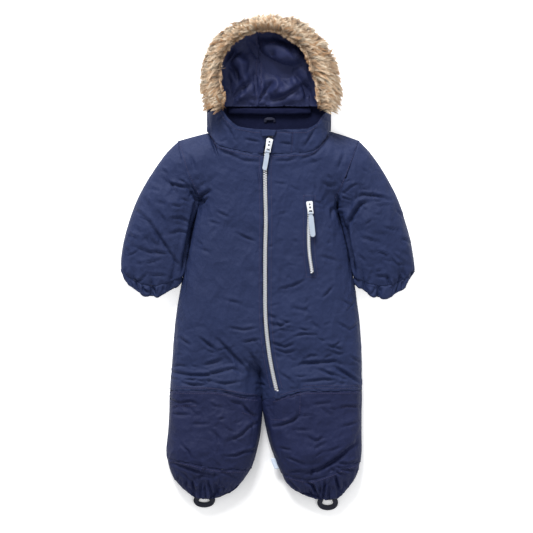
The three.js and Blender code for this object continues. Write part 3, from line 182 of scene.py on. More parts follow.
class Finish:
    """One material: makes nodes by type, and ends in a Principled shader."""

    def __init__(self, name):
        self.material = bpy.data.materials.new(name)
        self.material.use_nodes = True
        self.tree = self.material.node_tree
        self.shader = self.tree.nodes["Principled BSDF"]

    def node(self, kind, settings=None, out=0, **links):
        made = self.tree.nodes.new("ShaderNode" + kind)
        for key, value in (settings or {}).items():
            setattr(made, key, value)
        for key, item in links.items():
            plug(self.tree, made.inputs[key.replace("_", " ")], item)
        return Value(self.tree, made.outputs[out])

    def coordinates(self, scale=(1, 1, 1), turn=0.0):
        place = self.node("TexCoord", out="Object")
        return self.node("Mapping", Vector=place, Scale=scale, Rotation=(0, 0, turn))

    def noise(self, scale, detail=2.0, roughness=0.5, vector=None):
        return self.node("TexNoise", Vector=vector or self.coordinates(), Scale=scale, Detail=detail,
                         Roughness=roughness)

    def wave(self, direction, width):
        """Bands for yarns or ribs of a width, in metres."""
        return self.node("TexWave", {"bands_direction": direction}, out="Fac", Vector=self.coordinates(),
                         Scale=1 / (width * WAVE))

    def blend(self, factor, first, second):
        made = self.tree.nodes.new("ShaderNodeMix")
        made.data_type = "RGBA"
        plug(self.tree, made.inputs[0], factor)
        plug(self.tree, made.inputs[6], first)
        plug(self.tree, made.inputs[7], second)
        return Value(self.tree, made.outputs[2])

    def bump(self, height, strength, distance):
        return self.node("Bump", Height=height, Strength=strength, Distance=distance)

    def surface(self, **sockets):
        for key, item in sockets.items():
            plug(self.tree, self.shader.inputs[key.replace("_", " ")], item)
        return self.material


def colour(red, green, blue):
    """An sRGB colour, 0 to 255, as the linear colour that a shader takes."""
    def linear(c):
        c = c / 255
        return c / 12.92 if c <= 0.04045 else ((c + 0.055) / 1.055) ** 2.4
    return (linear(red), linear(green), linear(blue), 1.0)


print("shader helpers ready")

# %% [markdown]
# ## Finishes of the cloth
#
# The shell is a tightly woven nylon: matt, with thousands of tiny crinkles. Two waves cross for the yarns,
# two noises make the crinkles, and two patterns of cells with bent borders make the crumpled facets. The
# knee panels are the same cloth, a little darker. The hood's lining is a satin, paler and smoother. The
# cloth inside the neck is flat, and its dark colour is painted shade. Each cloth has a main colour for
# the cloth in light and a shade colour for the cloth in shade, so its colour is partly painted light and
# shade. A relief is in millimetres and a yarn in metres.

# %% Woven cloth
CRUMPLE_CELLS = 48.0        # cells to a metre
FACET_CELLS = 105.0
CELL_BEND = 0.02
Cloth = namedtuple("Cloth", "name main shade roughness crinkle relief yarn shine")
cloths = [
    Cloth("shell", (27, 39, 76), (21, 32, 65), 0.72, 1.0, 2.0, 0.00062, 0.26),
    Cloth("panel", (18, 27, 66), (13, 21, 54), 0.7, 1.0, 2.4, 0.0008, 0.26),
    Cloth("lining", (38, 45, 83), (25, 31, 62), 0.62, 0.8, 1.4, 0.0004, 0.22),
    # Its dark colours are painted shade, for the shade deep inside the neck.
    Cloth("throat", (22, 27, 56), (14, 18, 42), 0.8, 0.7, 1.4, 0.0004, 0.08),
]


def woven(cloth):
    f = Finish(cloth.name)
    warp, weft = f.wave("X", cloth.yarn), f.wave("Y", cloth.yarn)
    stretched = f.coordinates(scale=(1.0, 0.55, 1.0), turn=0.5)
    crinkles = f.noise(70, 4.0, 0.62, stretched)
    creases = f.noise(190, 3.0, 0.55)
    broad = f.noise(9, 3.0)
    # Painted light and shade in part: the broad noise mixes the shade and main colours at random, and the fine
    # crease noise, which also raises the bump, darkens the bump's troughs.
    tone = f.blend(broad * 0.55 + creases * 0.45, colour(*cloth.shade), colour(*cloth.main))
    bent = f.node("VectorMath", {"operation": "MULTIPLY_ADD"})
    sway = f.node("TexNoise", out="Color", Vector=f.coordinates(), Scale=22.0)
    for slot, item in zip(bent.socket.node.inputs, (sway, (CELL_BEND,) * 3, stretched)):
        plug(f.tree, slot, item)
    crumple = f.node("TexVoronoi", {"feature": "SMOOTH_F1"}, Vector=bent, Scale=CRUMPLE_CELLS, Smoothness=0.25)
    facets = f.node("TexVoronoi", {"feature": "F1"}, Vector=bent, Scale=FACET_CELLS)
    height = crumple * 1.5 + facets * 0.6 + crinkles * 0.7 + creases * 0.35 + warp * weft * 0.05
    f.surface(Base_Color=tone, Roughness=cloth.roughness + (broad - 0.5) * 0.12,
              Normal=f.bump(height, cloth.crinkle, cloth.relief * MM))
    f.shader.inputs["Specular IOR Level"].default_value = cloth.shine
    return f.material


finishes = {cloth.name: woven(cloth) for cloth in cloths}
print("cloth finishes:", ", ".join(finishes))

# %% [markdown]
# ## Finishes of the small things
#
# The zip is white coated plastic, its pulls a bluish satin grey. The stirrups are ribbed elastic, almost
# black. The thread is a purplish blue, a little lighter than the cloth. The floor glows like a light
# table, but for a patch between the legs where their shadows stay.


# %% Plastic, elastic, thread and floor
def plain(name, main, shade, roughness, grain, depth):
    """A finish whose colour and roughness vary softly, with a fine grain."""
    f = Finish(name)
    cloud = f.noise(60, 3.0)
    fine = f.noise(grain, 2.0)
    f.surface(Base_Color=f.blend(cloud, colour(*shade), colour(*main)),
              Roughness=roughness + (cloud - 0.5) * 0.15, Normal=f.bump(fine, 0.4, depth))
    return f.material


def ribbed(name, main, shade, rib):
    """Elastic: ribs run across the band, as its yarns are wrapped round rubber."""
    f = Finish(name)
    ribs = f.wave("X", rib)
    fine = f.noise(900, 2.0)
    f.surface(Base_Color=f.blend(ribs * 0.7 + fine * 0.3, colour(*shade), colour(*main)),
              Roughness=0.75 + fine * 0.1, Normal=f.bump(ribs + fine * 0.4, 0.6, 0.0004))
    return f.material


GLOW = 0.55
SHADED = (0.1, 0.1, 0.1, 1)     # the glow in the middle of the patch


def lit_floor(middle, reach):
    """A white surface lit from within, but for a round patch where shadows stay."""
    f = Finish("floor")
    shift = (-middle[0] / reach, -middle[1] / reach, 0)
    place = f.node("Mapping", Vector=f.node("TexCoord", out="Object"), Location=shift, Scale=(1 / reach,) * 3)
    patch = f.node("TexGradient", {"gradient_type": "SPHERICAL"}, out="Fac", Vector=place)
    cloud = f.noise(200, 2.0)
    f.surface(Base_Color=f.blend(cloud, colour(246, 246, 247), colour(250, 250, 250)),
              Roughness=0.85 + cloud * 0.05, Emission_Color=f.blend(patch ** 0.5, (1, 1, 1, 1), SHADED))
    f.shader.inputs["Emission Strength"].default_value = GLOW
    return f.material


for row in [
    ("zip", (232, 234, 238), (212, 215, 221), 0.4, 400, 0.0001),
    ("chain_base", (30, 33, 44), (20, 22, 32), 0.7, 700, 0.0003),
    ("pull", (176, 186, 199), (150, 162, 178), 0.4, 300, 0.0001),
    ("label", (206, 217, 232), (184, 196, 216), 0.7, 900, 0.0002),
    ("tape", (22, 28, 58), (14, 18, 42), 0.75, 900, 0.0003),
    # painted shade: near black for the sliders' openings, which are thin blocks and not holes
    ("dark", (30, 32, 44), (12, 13, 22), 0.6, 500, 0.0001),
    ("thread", (50, 43, 84), (28, 27, 58), 0.6, 900, 0.0001),
]:
    finishes[row[0]] = plain(*row)
finishes["elastic"] = ribbed("elastic", (30, 33, 52), (14, 15, 27), 0.0009)
finishes["floor"] = lit_floor((0.0, -0.33), 0.24)
print(len(finishes), "finishes")

# %% [markdown]
# ## The creases
#
# These are the folds that show in the photo, each a line over the plan in millimetres, with its depth
# and its half width. A negative depth is a trough. Padded cloth buckles sharply between soft areas, so
# the troughs are narrow and have a lip on each side. Where small creases crowd together, a table of
# tangles scatters short ones round a point, turned mostly one way, in degrees.

# %% Table of creases
Fold = namedtuple("Fold", "depth width points")
FOLD_ROWS = {      # depth and half width, then x and y of each point; right and left are the wearer's
    "right sleeve": """
        -2.8 3.5 -214 87 -188 65 -163 30 -143 -2; 1.4 6 -204 88 -180 66 -160 40;
        -3.0 3.5 -168 136 -153 125 -125 119; -2.4 3 -151 125 -148 113; -3.4 4 -125 119 -112 101 -115 84;
        -2.0 3.5 -154 46 -140 50 -125 47; -2.6 3.5 -152 70 -137 71 -124 64; -2.6 3 -213 26 -188 17 -154 14;
        -2.0 3 -181 49 -160 23; -1.8 3 -207 -2 -186 0 -166 6; -1.6 3 -150 8 -140 -6; -1.4 3 -188 120 -172 114;
        -1.4 4 -176 96 -160 92; -1.4 3 -222 44 -206 38; -1.6 3 -152 92 -138 88; -1.4 3 -200 104 -188 92;
        -3.2 3 -221 -18 -213 -29 -200 -29 -191 -17; -3.6 3 -195 -29 -198 -41 -188 -48;
        -3.2 3 -210 -31 -204 -45; -3.2 3 -182 -36 -178 -50; -2.2 3 -168 -30 -164 -46; -2.0 3 -152 -24 -150 -38;
        -2.2 3 -226 -12 -222 -28; -2.0 3 -188 -20 -160 -21
    """,
    "left sleeve": """
        -5.0 4.5 162 96 150 93 142 82 134 68 129 54; -3.2 4 130 56 132 30 138 6;
        -3.0 3.2 145 103 152 108 176 106 195 102; -1.6 2.6 146 117 163 117; -1.2 2.6 140 123 160 122;
        -1.6 2.6 126 112 134 120 146 126; -2.0 3 116 131 122 126 132 131; -3.6 3.5 108 112 114 100 112 84;
        -1.5 3 172 92 180 90 197 93; -1.2 3 172 76 184 77; -1.4 3 158 60 169 68; -1.8 2.8 186 56 200 53 215 52;
        -2.6 3 174 17 184 15 197 9; -1.6 3 166 -19 176 -14 188 -11; -2.4 3 172 -21 186 -22 200 -25;
        -1.4 3 146 12 158 2; -1.3 3 208 84 220 72; -1.2 4 150 40 168 34; -1.2 3 206 20 226 12;
        -1.4 3 205 -2 226 -4; -1.2 3 152 150 164 142; -4.0 3 192 -22 196 -32 201 -43; -3.0 3 205 -27 208 -39;
        -3.8 3 214 -22 217 -30 218 -39; -3.0 3 221 -16 223 -26; -2.2 3 166 -24 163 -36; -2.4 4 186 -32 182 -48;
        -1.6 4 174 -36 172 -50
    """,
    "arms against the sides": """
        -4.0 5 -114 90 -124 40 -136 -18; -4.0 5 118 80 130 36 142 -22
    """,
    "chest": """
        -4.0 4 -111 101 -102 108 -90 114; -3.0 3 -108 90 -100 98 -93 104; -1.8 3 -79 81 -61 72;
        -2.2 3 -48 47 -34 40 -18 34; -1.2 3 -92 66 -74 60; -1.6 3 104 132 96 140;
        -2.4 3.5 110 124 100 122 88 128; -2.4 3.5 112 92 104 84 104 70; -1.3 4 86 10 112 2;
        -1.2 4 -110 24 -88 14; -2.2 3.5 -88 190 -70 176 -46 170; -1.6 3.5 -58 172 -36 162 -12 160;
        -2.2 3.5 94 190 78 174 54 164; -1.6 3.5 52 168 34 162 14 162; -1.4 4 124 172 114 150;
        -1.4 4 -122 172 -114 148; -1.6 3 -14 150 -10 120
    """,
    "belly and crotch": """
        -2.2 3 23 -43 43 -37 62 -28; -2.2 3 90 -56 98 -48 106 -38; -2.2 3 2 -84 15 -89;
        -2.6 3 4 -97 24 -101 34 -95; -2.0 3 53 -106 69 -110; -2.2 3 43 -119 60 -114 80 -116;
        -3.0 3.2 6 -128 28 -135 44 -130; -2.6 3 13 -138 30 -144 46 -141;
        -3.2 3.5 43 -167 60 -161 84 -160 112 -157; -3.4 3.5 108 -166 128 -178 148 -192;
        -2.6 3 84 -171 100 -177 116 -182; -2.0 3 57 -191 90 -187 116 -189;
        -2.8 3.2 -107 -120 -94 -130 -80 -143; -3.2 3.5 -79 -122 -54 -148 -27 -175;
        -2.6 3 -38 -128 -26 -125 -12 -123; -2.8 3.5 -28 -140 -20 -156 -13 -172;
        -3.2 3.5 -150 -176 -124 -180 -98 -180 -54 -169 -36 -178; -2.6 3.5 -100 -164 -82 -160 -64 -155;
        -2.2 3 -136 -192 -116 -196 -96 -195; -2.0 3 -90 -190 -66 -194 -40 -190;
        -1.8 3 -60 -104 -36 -108 -14 -104; -1.6 3 112 -96 134 -108; -1.8 3 -140 -120 -122 -132;
        -1.6 3 96 -132 122 -140; -1.4 4 40 -72 66 -78; -1.4 4 -66 -60 -42 -66; -1.4 3 120 -60 136 -70;
        -3.0 3 -74 -203 -60 -210 -40 -215 -14 -218; -2.6 3.5 50 -190 52 -206 54 -234;
        -1.8 3 20 -176 36 -186 46 -198; -1.8 3 134 -150 150 -160
    """,
    "right knee and ankle": """
        -1.8 3 -58 -222 -40 -226; -3.0 3 -38 -228 -30 -238 -17 -247; -1.6 3 -120 -234 -110 -246;
        -2.0 3.5 -150 -243 -122 -243; -1.8 3 -150 -226 -120 -222 -108 -228; -1.4 4 -122 -258 -90 -258;
        -2.0 4 -92 -266 -80 -275 -74 -289; -2.4 3.5 -62 -286 -40 -276 -28 -264 -13 -256;
        -2.0 3 -136 -290 -126 -300 -120 -313; -2.8 3 -66 -310 -48 -308 -36 -303 -18 -300;
        -3.4 3.5 -150 -321 -120 -331 -100 -338 -78 -341; -2.6 3 -72 -335 -60 -339 -46 -347;
        -2.4 3 -116 -345 -104 -342 -86 -345; -3.4 3 -120 -348 -113 -374; -2.6 3 -104 -350 -106 -374;
        -3.2 3 -94 -350 -87 -376; -2.6 3 -82 -354 -77 -376; -2.0 3 -70 -360 -65 -376;
        -2.0 3 -128 -350 -131 -370; -1.8 3 -58 -356 -52 -370; -1.6 3 -140 -342 -146 -356;
        -1.6 3 -44 -350 -36 -360
    """,
    "left knee and ankle": """
        -3.2 3.5 9 -263 22 -260 42 -253 53 -243 55 -228; -1.8 3.5 44 -267 70 -268; -1.4 4 72 -248 72 -270;
        -1.8 3 87 -231 96 -238 105 -246; -1.4 4 60 -276 82 -287; -2.0 3 118 -233 126 -230 152 -231;
        -1.6 3.5 74 -227 102 -224; -4.6 4.5 145 -289 132 -298 118 -310 104 -320 86 -330 58 -339;
        -2.0 3 32 -312 50 -318 62 -323; -2.4 3 36 -336 62 -333; -2.4 3 150 -317 130 -322 112 -321;
        -2.8 3 102 -329 116 -338 126 -338; -3.0 3 110 -326 124 -332 144 -333; -2.4 3 34 -348 44 -359 52 -365;
        -3.8 3 62 -351 74 -357 79 -368 81 -378; -3.0 3 94 -348 92 -376; -2.2 3 100 -352 99 -376;
        -3.8 3 110 -340 114 -358 116 -377; -2.8 3 86 -358 85 -376; -2.0 3 124 -350 129 -366;
        -2.0 3 106 -358 107 -376; -1.6 3 20 -296 40 -300; -1.6 3.5 120 -262 146 -256; -1.8 3 60 -366 62 -378
    """,
    "collar": """
        -1.6 2.2 42 208 40 174; -1.8 3.5 -70 226 -60 212 -50 192; -1.8 3.5 78 214 70 200 60 184;
        -1.4 3 -34 196 -12 192; -1.4 3 24 190 40 188
    """,
    "hood lining: the hollow under the large bulge, then the folds that fan out from the middle": """
        9.0 17 -8 352 17 342 54 331; -12.0 9 -27 354 -12 333 3 322 29 310 54 316; -9.0 15 -6 316 14 306 44 298;
        6.0 12 -54 334 -36 312; -7.0 6 -60 316 -50 308 -45 291; 4.0 8 -36 300 -30 280; -5.0 5 -18 304 -15 262;
        -4.5 5 -60 258 -36 282 -23 290; 3.5 7 -46 262 -28 276; -4.5 5 -15 258 9 287; 3.0 7 6 270 24 288;
        -5.0 6 0 257 28 266 52 281; -6.0 7 48 300 62 280 70 256; 4.0 9 36 296 50 288; -3.0 4 -26 262 12 262;
        -5.0 6 -44 340 -54 322; -3.0 5 34 346 46 326; -3.0 5 -24 326 -32 304; -3.0 4 -66 280 -58 268;
        -3.5 4 20 296 34 284
    """,
}
folds = []
for row in ";".join(FOLD_ROWS.values()).split(";"):
    depth, width, *line = map(float, row.split())
    folds.append(Fold(depth, width, list(zip(line[::2], line[1::2]))))

Tangle = namedtuple("Tangle", "x y reach count turn spread")
tangles = [Tangle(*row) for row in [
    (-112, 104, 16, 12, -40, 35), (112, 104, 14, 12, 35, 35), (-186, 30, 26, 12, -38, 25),
    (190, 20, 26, 12, -20, 30), (-20, -150, 20, 12, -50, 30), (30, -110, 22, 12, 5, 25),
    (-95, -160, 28, 14, -12, 30), (100, -160, 28, 14, 0, 30), (-80, -205, 40, 12, -5, 12),
    (80, -205, 40, 12, 0, 14), (-85, -265, 36, 12, -15, 35), (85, -270, 36, 12, 25, 35),
    (-95, -345, 26, 16, -80, 30), (95, -345, 26, 16, 85, 30), (-150, 110, 26, 8, -35, 30),
    (165, 90, 26, 8, 0, 30), (0, 170, 60, 10, 0, 20), (-60, 40, 60, 8, -15, 30),
    (90, -60, 40, 10, 25, 30), (-200, -25, 20, 10, 70, 40), (195, -25, 20, 10, 85, 40),
]]
random.seed(5)
for t in tangles:
    for _ in range(t.count):
        middle = Vector((random.gauss(t.x, t.reach), random.gauss(t.y, 0.8 * t.reach)))
        turn = math.radians(random.gauss(t.turn, t.spread))
        half = Vector((math.cos(turn), math.sin(turn))) * random.uniform(4, 13)
        bend = Vector((-half.y, half.x)) * random.uniform(-0.25, 0.25)
        line = [middle - half, middle + bend, middle + half]
        folds.append(Fold(-random.uniform(0.6, 1.7), random.uniform(2.2, 3.4), [tuple(q) for q in line]))
CREASE_GAIN = 1.42      # all creases are this much deeper than in the tables
CREASE_WIDTH = 0.85     # and this much narrower
print(len(folds), "creases")


def crease_height(plan):
    """Summed depth of the creases at each plan point of an N by 2 array."""
    total = np.zeros(len(plan))
    for fold in folds:
        line = np.array([at(x, y)[:2] for x, y in fold.points])
        margin = 4 * fold.width * MM
        close = np.all((plan > line.min(0) - margin) & (plan < line.max(0) + margin), axis=1)
        if close.any():
            total[close] += fold_height(fold, line, plan[close])
    return total * CREASE_GAIN


def fold_height(fold, line, plan):
    """Depth of one fold at plan points near it.

    It is a narrow trough with a lip on its upper side and a fainter one below, so that it catches the
    light mostly on one side. It fades towards its ends.
    """
    runs = np.diff(line, axis=0)
    lengths = np.linalg.norm(runs, axis=1)
    before = np.concatenate([[0], np.cumsum(lengths)])
    width = fold.width * CREASE_WIDTH * MM
    nearest = np.full(len(plan), np.inf)
    share = np.zeros(len(plan))
    for start, run, length, gone in zip(line, runs, lengths, before):
        across = np.array([-run[1], run[0]]) / length
        across = across if across[1] > 0 else -across
        along = np.clip((plan - start) @ run / length ** 2, 0, 1)
        offset = plan - start - along[:, None] * run
        away = np.linalg.norm(offset, axis=1) * np.where(offset @ across < 0, -1, 1)
        closer = np.abs(away) < np.abs(nearest)
        nearest[closer] = away[closer]
        share[closer] = ((gone + along * length) / before[-1])[closer]
    s = np.clip(nearest / width, -9, 9)
    taper = np.sin(math.pi * (0.06 + 0.88 * share)) ** 0.8
    trough = np.exp(-(s / 0.7) ** 2)
    upper_lip = 0.42 * np.exp(-((s - 1.7) / 1.0) ** 2)
    lower_lip = 0.2 * np.exp(-((s + 1.8) / 1.1) ** 2)
    return fold.depth * MM * taper * (trough - upper_lip - lower_lip)


# %% [markdown]
# ## Dressing a cut piece
#
# A CAD piece arrives as loose triangles. Its copy is merged, its triangles are joined back into quads,
# and rounds of subdivision make the skin smooth. The rims stay sharp by a crease and are pushed out a
# little, so that the pieces meet at their seams. The skin that shows is then split once more, and its
# points move along their normals: creases, broad swells of the padding, small wrinkles, gathers at the
# elastic edges, and a dip with puckers beside each seam. The sleeves also lean on the body.

# %% From CAD wall to smooth quads
RIM_ANGLE = math.radians(50)
SKIN_Z = 13 * MM        # above the side seams: only this part of a wall is creased
SEAM_CLOSE = 0.9 * MM
ZIP_KEEP = 8            # millimetres beside the main zip where rims stay
Meeting = namedtuple("Meeting", "low high left right")
meetings = [Meeting(-40, 104, 96, 150), Meeting(-40, 104, -150, -96), Meeting(-236, -176, -22, 16)]
MEET_CLOSE = 1.9 * MM   # further push where a sleeve touches the body, or one thigh the other


def zip_x(y):
    """Middle of the main zip in the drawing, in millimetres."""
    upper = 0.0031 * max(y - 150, 0) ** 2
    lower = 0.00089 * max(-60 - y, 0) ** 2
    return -2.2 + upper + lower + 1.2 * math.exp(-(((y - 68) / 34) ** 2))


def close_seams(bm, crease):
    """Pushes the rims of a wall out a little, so that sewn pieces touch and no light gets between."""
    bm.normal_update()
    shifts = {}
    for face in bm.faces:
        if sum(edge[crease] for edge in face.edges) < 2 or abs(face.normal.z) > 0.5:
            continue
        out = Vector((face.normal.x, face.normal.y, 0)).normalized()
        for v in face.verts:
            shifts.setdefault(v, []).append(out)
    for v, outs in shifts.items():
        x, y = drawn(v.co)
        beside_zip = abs(x - zip_x(y)) < ZIP_KEEP and y > -206
        meets = any(m.low < y < m.high and m.left < x < m.right for m in meetings)
        if not beside_zip:
            v.co += (SEAM_CLOSE + MEET_CLOSE * meets) * (sum(outs, Vector()) / len(outs))


WELT_EDGE = 5 * MM
WELT_SINK = 2.4 * MM


def sink_welt(mesh):
    """Lowers the border of the pocket's welt into the cloth, so that only its middle stands proud."""
    ys = [v.co.y for v in mesh.vertices]
    low, high = min(ys), max(ys)
    for v in mesh.vertices:
        row = [w.co.x for w in mesh.vertices if abs(w.co.y - v.co.y) < 1e-5]
        beside = abs(v.co.x - (min(row) + max(row)) / 2) > WELT_EDGE
        if beside or v.co.y - low < 1e-4 or high - v.co.y < 1e-4:
            v.co.z -= WELT_SINK


def quads_of(node, name):
    """A merged copy of a CAD node as an object of quads, with its rims creased."""
    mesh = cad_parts[node].data.copy()
    mesh.materials.clear()
    mesh.name = name
    if node == "pocket_tape":
        sink_welt(mesh)
    bm = bmesh.new()
    bm.from_mesh(mesh)
    bmesh.ops.remove_doubles(bm, verts=bm.verts, dist=2e-6)
    bmesh.ops.join_triangles(bm, faces=bm.faces, angle_face_threshold=math.radians(40),
                             angle_shape_threshold=math.radians(60))
    crease = bm.edges.layers.float.new("crease_edge")
    for edge in bm.edges:
        if len(edge.link_faces) == 2 and edge.calc_face_angle(0) > RIM_ANGLE:
            edge[crease] = 1.0
    close_seams(bm, crease)
    bm.to_mesh(mesh)
    bm.free()
    return add(name, mesh)


def subdivide(piece, levels):
    smooth = piece.modifiers.new("smooth", "SUBSURF")
    smooth.levels = smooth.render_levels = levels
    graph = bpy.context.evaluated_depsgraph_get()
    graph.update()
    mesh = bpy.data.meshes.new_from_object(piece.evaluated_get(graph))
    piece.modifiers.clear()
    piece.data = mesh


def smoothstep(t):
    t = min(max(t, 0.0), 1.0)
    return t * t * (3 - 2 * t)


# %% Wrinkles, gathers and seams
noise.seed_set(7)       # or else noise_vector would differ from run to run
HotSpot = namedtuple("HotSpot", "x y reach amount")
hot_spots = [HotSpot(*row) for row in [
    (-110, 108, 44, 1.0), (112, 100, 44, 1.0), (-185, 22, 52, 0.9), (188, 22, 52, 0.9),
    (-150, 60, 40, 0.5), (155, 60, 40, 0.5), (4, -148, 58, 1.0), (-95, -165, 60, 0.8),
    (100, -160, 62, 0.85), (-92, -335, 52, 0.9), (100, -330, 55, 1.0), (-80, 178, 36, 0.7),
    (86, 178, 36, 0.7), (-88, -252, 60, 0.45), (86, -252, 60, 0.5), (10, -40, 50, 0.3),
]]
CALM = 0.22         # wrinkling of the smooth chest


def restless(p):
    """How wrinkled the cloth is at a point, from CALM to about 1."""
    x, y = drawn(p)
    return CALM + sum(h.amount * math.exp(-((x - h.x) ** 2 + (y - h.y) ** 2) / h.reach ** 2)
                      for h in hot_spots)


def swell(point, size):
    return noise.noise(point / size)


def across_cloth(p):
    """The point in a frame whose first axis runs along the wrinkles: across the sleeves and the legs."""
    tilt = -0.35 if p.x < -0.11 else 0.35
    turn = tilt if p.y > -0.06 and abs(p.x) > 0.11 else 0.12 * math.sin(p.x * 23 + p.y * 9)
    c, s = math.cos(turn), math.sin(turn)
    return Vector((p.x * c + p.y * s, (p.y * c - p.x * s) * 2.7, p.z))


def facets(point, size):
    """Crumpled cloth: flat facets that meet in sharp ridges, from 0 to about 1."""
    near, next_near = noise.voronoi(point / size)[0][:2]
    return math.sqrt(near) * 0.6 + min(next_near - near, 0.4)


def ridges(point, size):
    """Narrow creases between soft pillows, from 0 on a pillow to 1 in a crease."""
    return (1 - abs(noise.noise(point / size))) ** 9


Gather = namedtuple("Gather", "x1 y1 x2 y2 bow waves height reach phase spread")
gathers = [Gather(*row) for row in [
    (-229, -25, -133, -22, 27, 3.6, 10.0, 19, 0.3, 0.9),
    (229, -29, 138, -24, 26, 3.6, 10.0, 19, 1.1, 0.9),
    (-156, -362, -48, -362, 17, 11.5, 4.5, 23, 0.5, 0.3),
    (152, -362, 42, -362, 18, 11.5, 4.5, 23, 0.9, 0.3),
]]


def gathered(p):
    """Lift and outward push of the elastic gathers near a cuff or hem, both in metres."""
    x, y = drawn(p)
    for g in gathers:
        u = (x - g.x1) / (g.x2 - g.x1)
        if not -0.05 < u < 1.05:
            continue
        edge = g.y1 + (g.y2 - g.y1) * u - g.bow * 4 * u * (1 - u)
        inward = y - edge
        if not -30 < inward < 3 * g.reach:
            continue
        fan = 0.5 + (u - 0.5) / (1 + max(inward, 0) / 90)
        wander = 0.035 * math.sin(fan * 11 + g.phase * 5) + 0.02 * math.sin(fan * 23 + inward * 0.06)
        lobe = abs(math.sin(math.pi * (g.waves * (fan + wander) + g.phase))) ** 0.6 - 0.62
        middle = math.exp(-(((u - 0.5) / g.spread) ** 2))
        height = g.height * MM * lobe * middle
        lift = height * math.exp(-((max(inward - 6, 0) / g.reach) ** 2))
        return lift, 0.5 * height * math.exp(-((inward / 9) ** 2))
    return 0.0, 0.0


Look = namedtuple("Look", "swell wrinkle pucker dip dip_width puff")
PADDED = Look(0.7 * MM, 0.8 * MM, 0.9 * MM, 1.5 * MM, 2.4 * MM, 0.0)
FIRM = Look(0.5 * MM, 0.6 * MM, 0.7 * MM, 0.9 * MM, 2.0 * MM, 0.0)
SATIN = Look(1.2 * MM, 0.6 * MM, 0.4 * MM, 0.6 * MM, 3.0 * MM, 11 * MM)
UNDER = Look(0.0, 0.0, 0.0, 0.0, 3.0 * MM, 0.0)
PUFF_REACH = 22 * MM    # how far from its rims a piece reaches its full puff
CUFF_SEAM = 0.15        # share of the seam's dip that stays in the gathered cuff seams
PUCKER_REACH = 9 * MM
SEAM_FREE = 6 * MM      # how far from a seam the cloth wrinkles freely
CREASE_FREE = 4 * MM    # and creases


def undulation(p, look, away):
    """Movement of a point of the skin along its normal, from all but the creases of the table."""
    seam = math.exp(-((away / look.dip_width) ** 2))
    if abs(p.x) > 0.13 and -0.08 < p.y < 0.015:
        seam *= CUFF_SEAM
    near = math.exp(-away / PUCKER_REACH)
    free = 1 - math.exp(-((away / SEAM_FREE) ** 2))
    flow = across_cloth(p + 0.005 * noise.noise_vector(p / 0.05))
    amount = restless(p)
    lift = look.swell * swell(p, 0.05) * free
    lift -= look.wrinkle * amount * ridges(flow + Vector((3, 1, 7)), 0.06) * free
    lift -= 0.6 * look.wrinkle * amount * ridges(flow + Vector((6, 4, 2)), 0.032) * free
    lift += 0.3 * look.wrinkle * amount * swell(flow + Vector((1, 8, 2)), 0.03) * free
    crumple = facets(flow * 0.8 + Vector((2, 3, 5)), 0.036) - 0.6
    lift += 0.75 * look.wrinkle * (0.35 + amount) * crumple * free
    lift += 0.22 * look.wrinkle * swell(p + Vector((5, 5, 5)), 0.011) * (0.4 + amount)
    lift += look.pucker * swell(p + Vector((9, 2, 4)), 0.0065) * near
    lift += look.puff * (1 - math.exp(-((away / PUFF_REACH) ** 2)))
    return lift - look.dip * seam


def dress(node, finish, look, held, levels, refine):
    """Makes the visible piece of one CAD wall: smooth, creased, puckered at its seams."""
    piece = quads_of(node, f"cloth_{node}")
    rim = [v.co.copy() for ends in rims_of(piece) for v in ends if v.co.z > SKIN_Z]
    subdivide(piece, levels)
    if node.startswith("sleeve"):
        for v in piece.data.vertices:
            v.co += lean_on_body(v.co)
    bm = bmesh.new()
    bm.from_mesh(piece.data)
    bm.normal_update()
    if refine:
        skin = {f for f in bm.faces if f.normal.z > 0.02 and f.calc_center_median().z > SKIN_Z}
        edges = {e for f in skin for e in f.edges if all(g in skin for g in e.link_faces)}
        bmesh.ops.subdivide_edges(bm, edges=list(edges), cuts=1, use_grid_fill=True)
        bm.normal_update()
    skin_verts = [v for v in bm.verts if v.co.z > SKIN_Z and v.normal.z > 0.0]
    if look.swell > 0 and skin_verts:
        tree = rim_tree(rim)
        folds = crease_height(np.array([v.co[:2] for v in skin_verts]))
        moves = []
        for v, fold in zip(skin_verts, folds):
            away = tree.find(v.co)[2] if tree else 1.0
            free = 1 - math.exp(-((away / CREASE_FREE) ** 2))
            rise, push = gathered(v.co)
            shift = v.normal * (fold * free + undulation(v.co, look, away) + rise * v.normal.z)
            shift.y -= push
            moves.append(shift)
        for v, shift in zip(skin_verts, moves):
            v.co += shift
    bm.to_mesh(piece.data)
    bm.free()
    shade_smooth(piece.data)
    piece.data.materials.append(finishes[finish])
    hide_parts(node)
    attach(piece, "garment")
    declare(piece)
    return piece


Side = namedtuple("Side", "x1 y1 x2 y2")
sides = [Side(-109, 96, -134, -26), Side(115, 84, 141, -32), Side(125, 132, 116, 106)]
SIDE_REACH = 13         # millimetres of a sleeve's inner edge that lean
SIDE_MOVE = 3.2


def lean_on_body(co):
    """How far a sleeve's point moves towards the body, so that the arm lies against the side."""
    p = Vector(drawn(co))
    shift = Vector((0, 0, 0))
    for side in sides:
        a, b = Vector((side.x1, side.y1)), Vector((side.x2, side.y2))
        run = b - a
        along = (p - a).dot(run) / run.length_squared
        if not -0.1 < along < 1.1:
            continue
        out = Vector((-run.y, run.x)).normalized()
        out = -out if out.x * side.x1 < 0 else out
        away = (p - a).dot(out)
        if -6 < away < SIDE_REACH:
            fade = smoothstep(min(along + 0.1, 1.1 - along) / 0.15) * (1 - max(away, 0) / SIDE_REACH)
            shift -= Vector((out.x, out.y, 0)) * SIDE_MOVE * MM * fade
    return shift


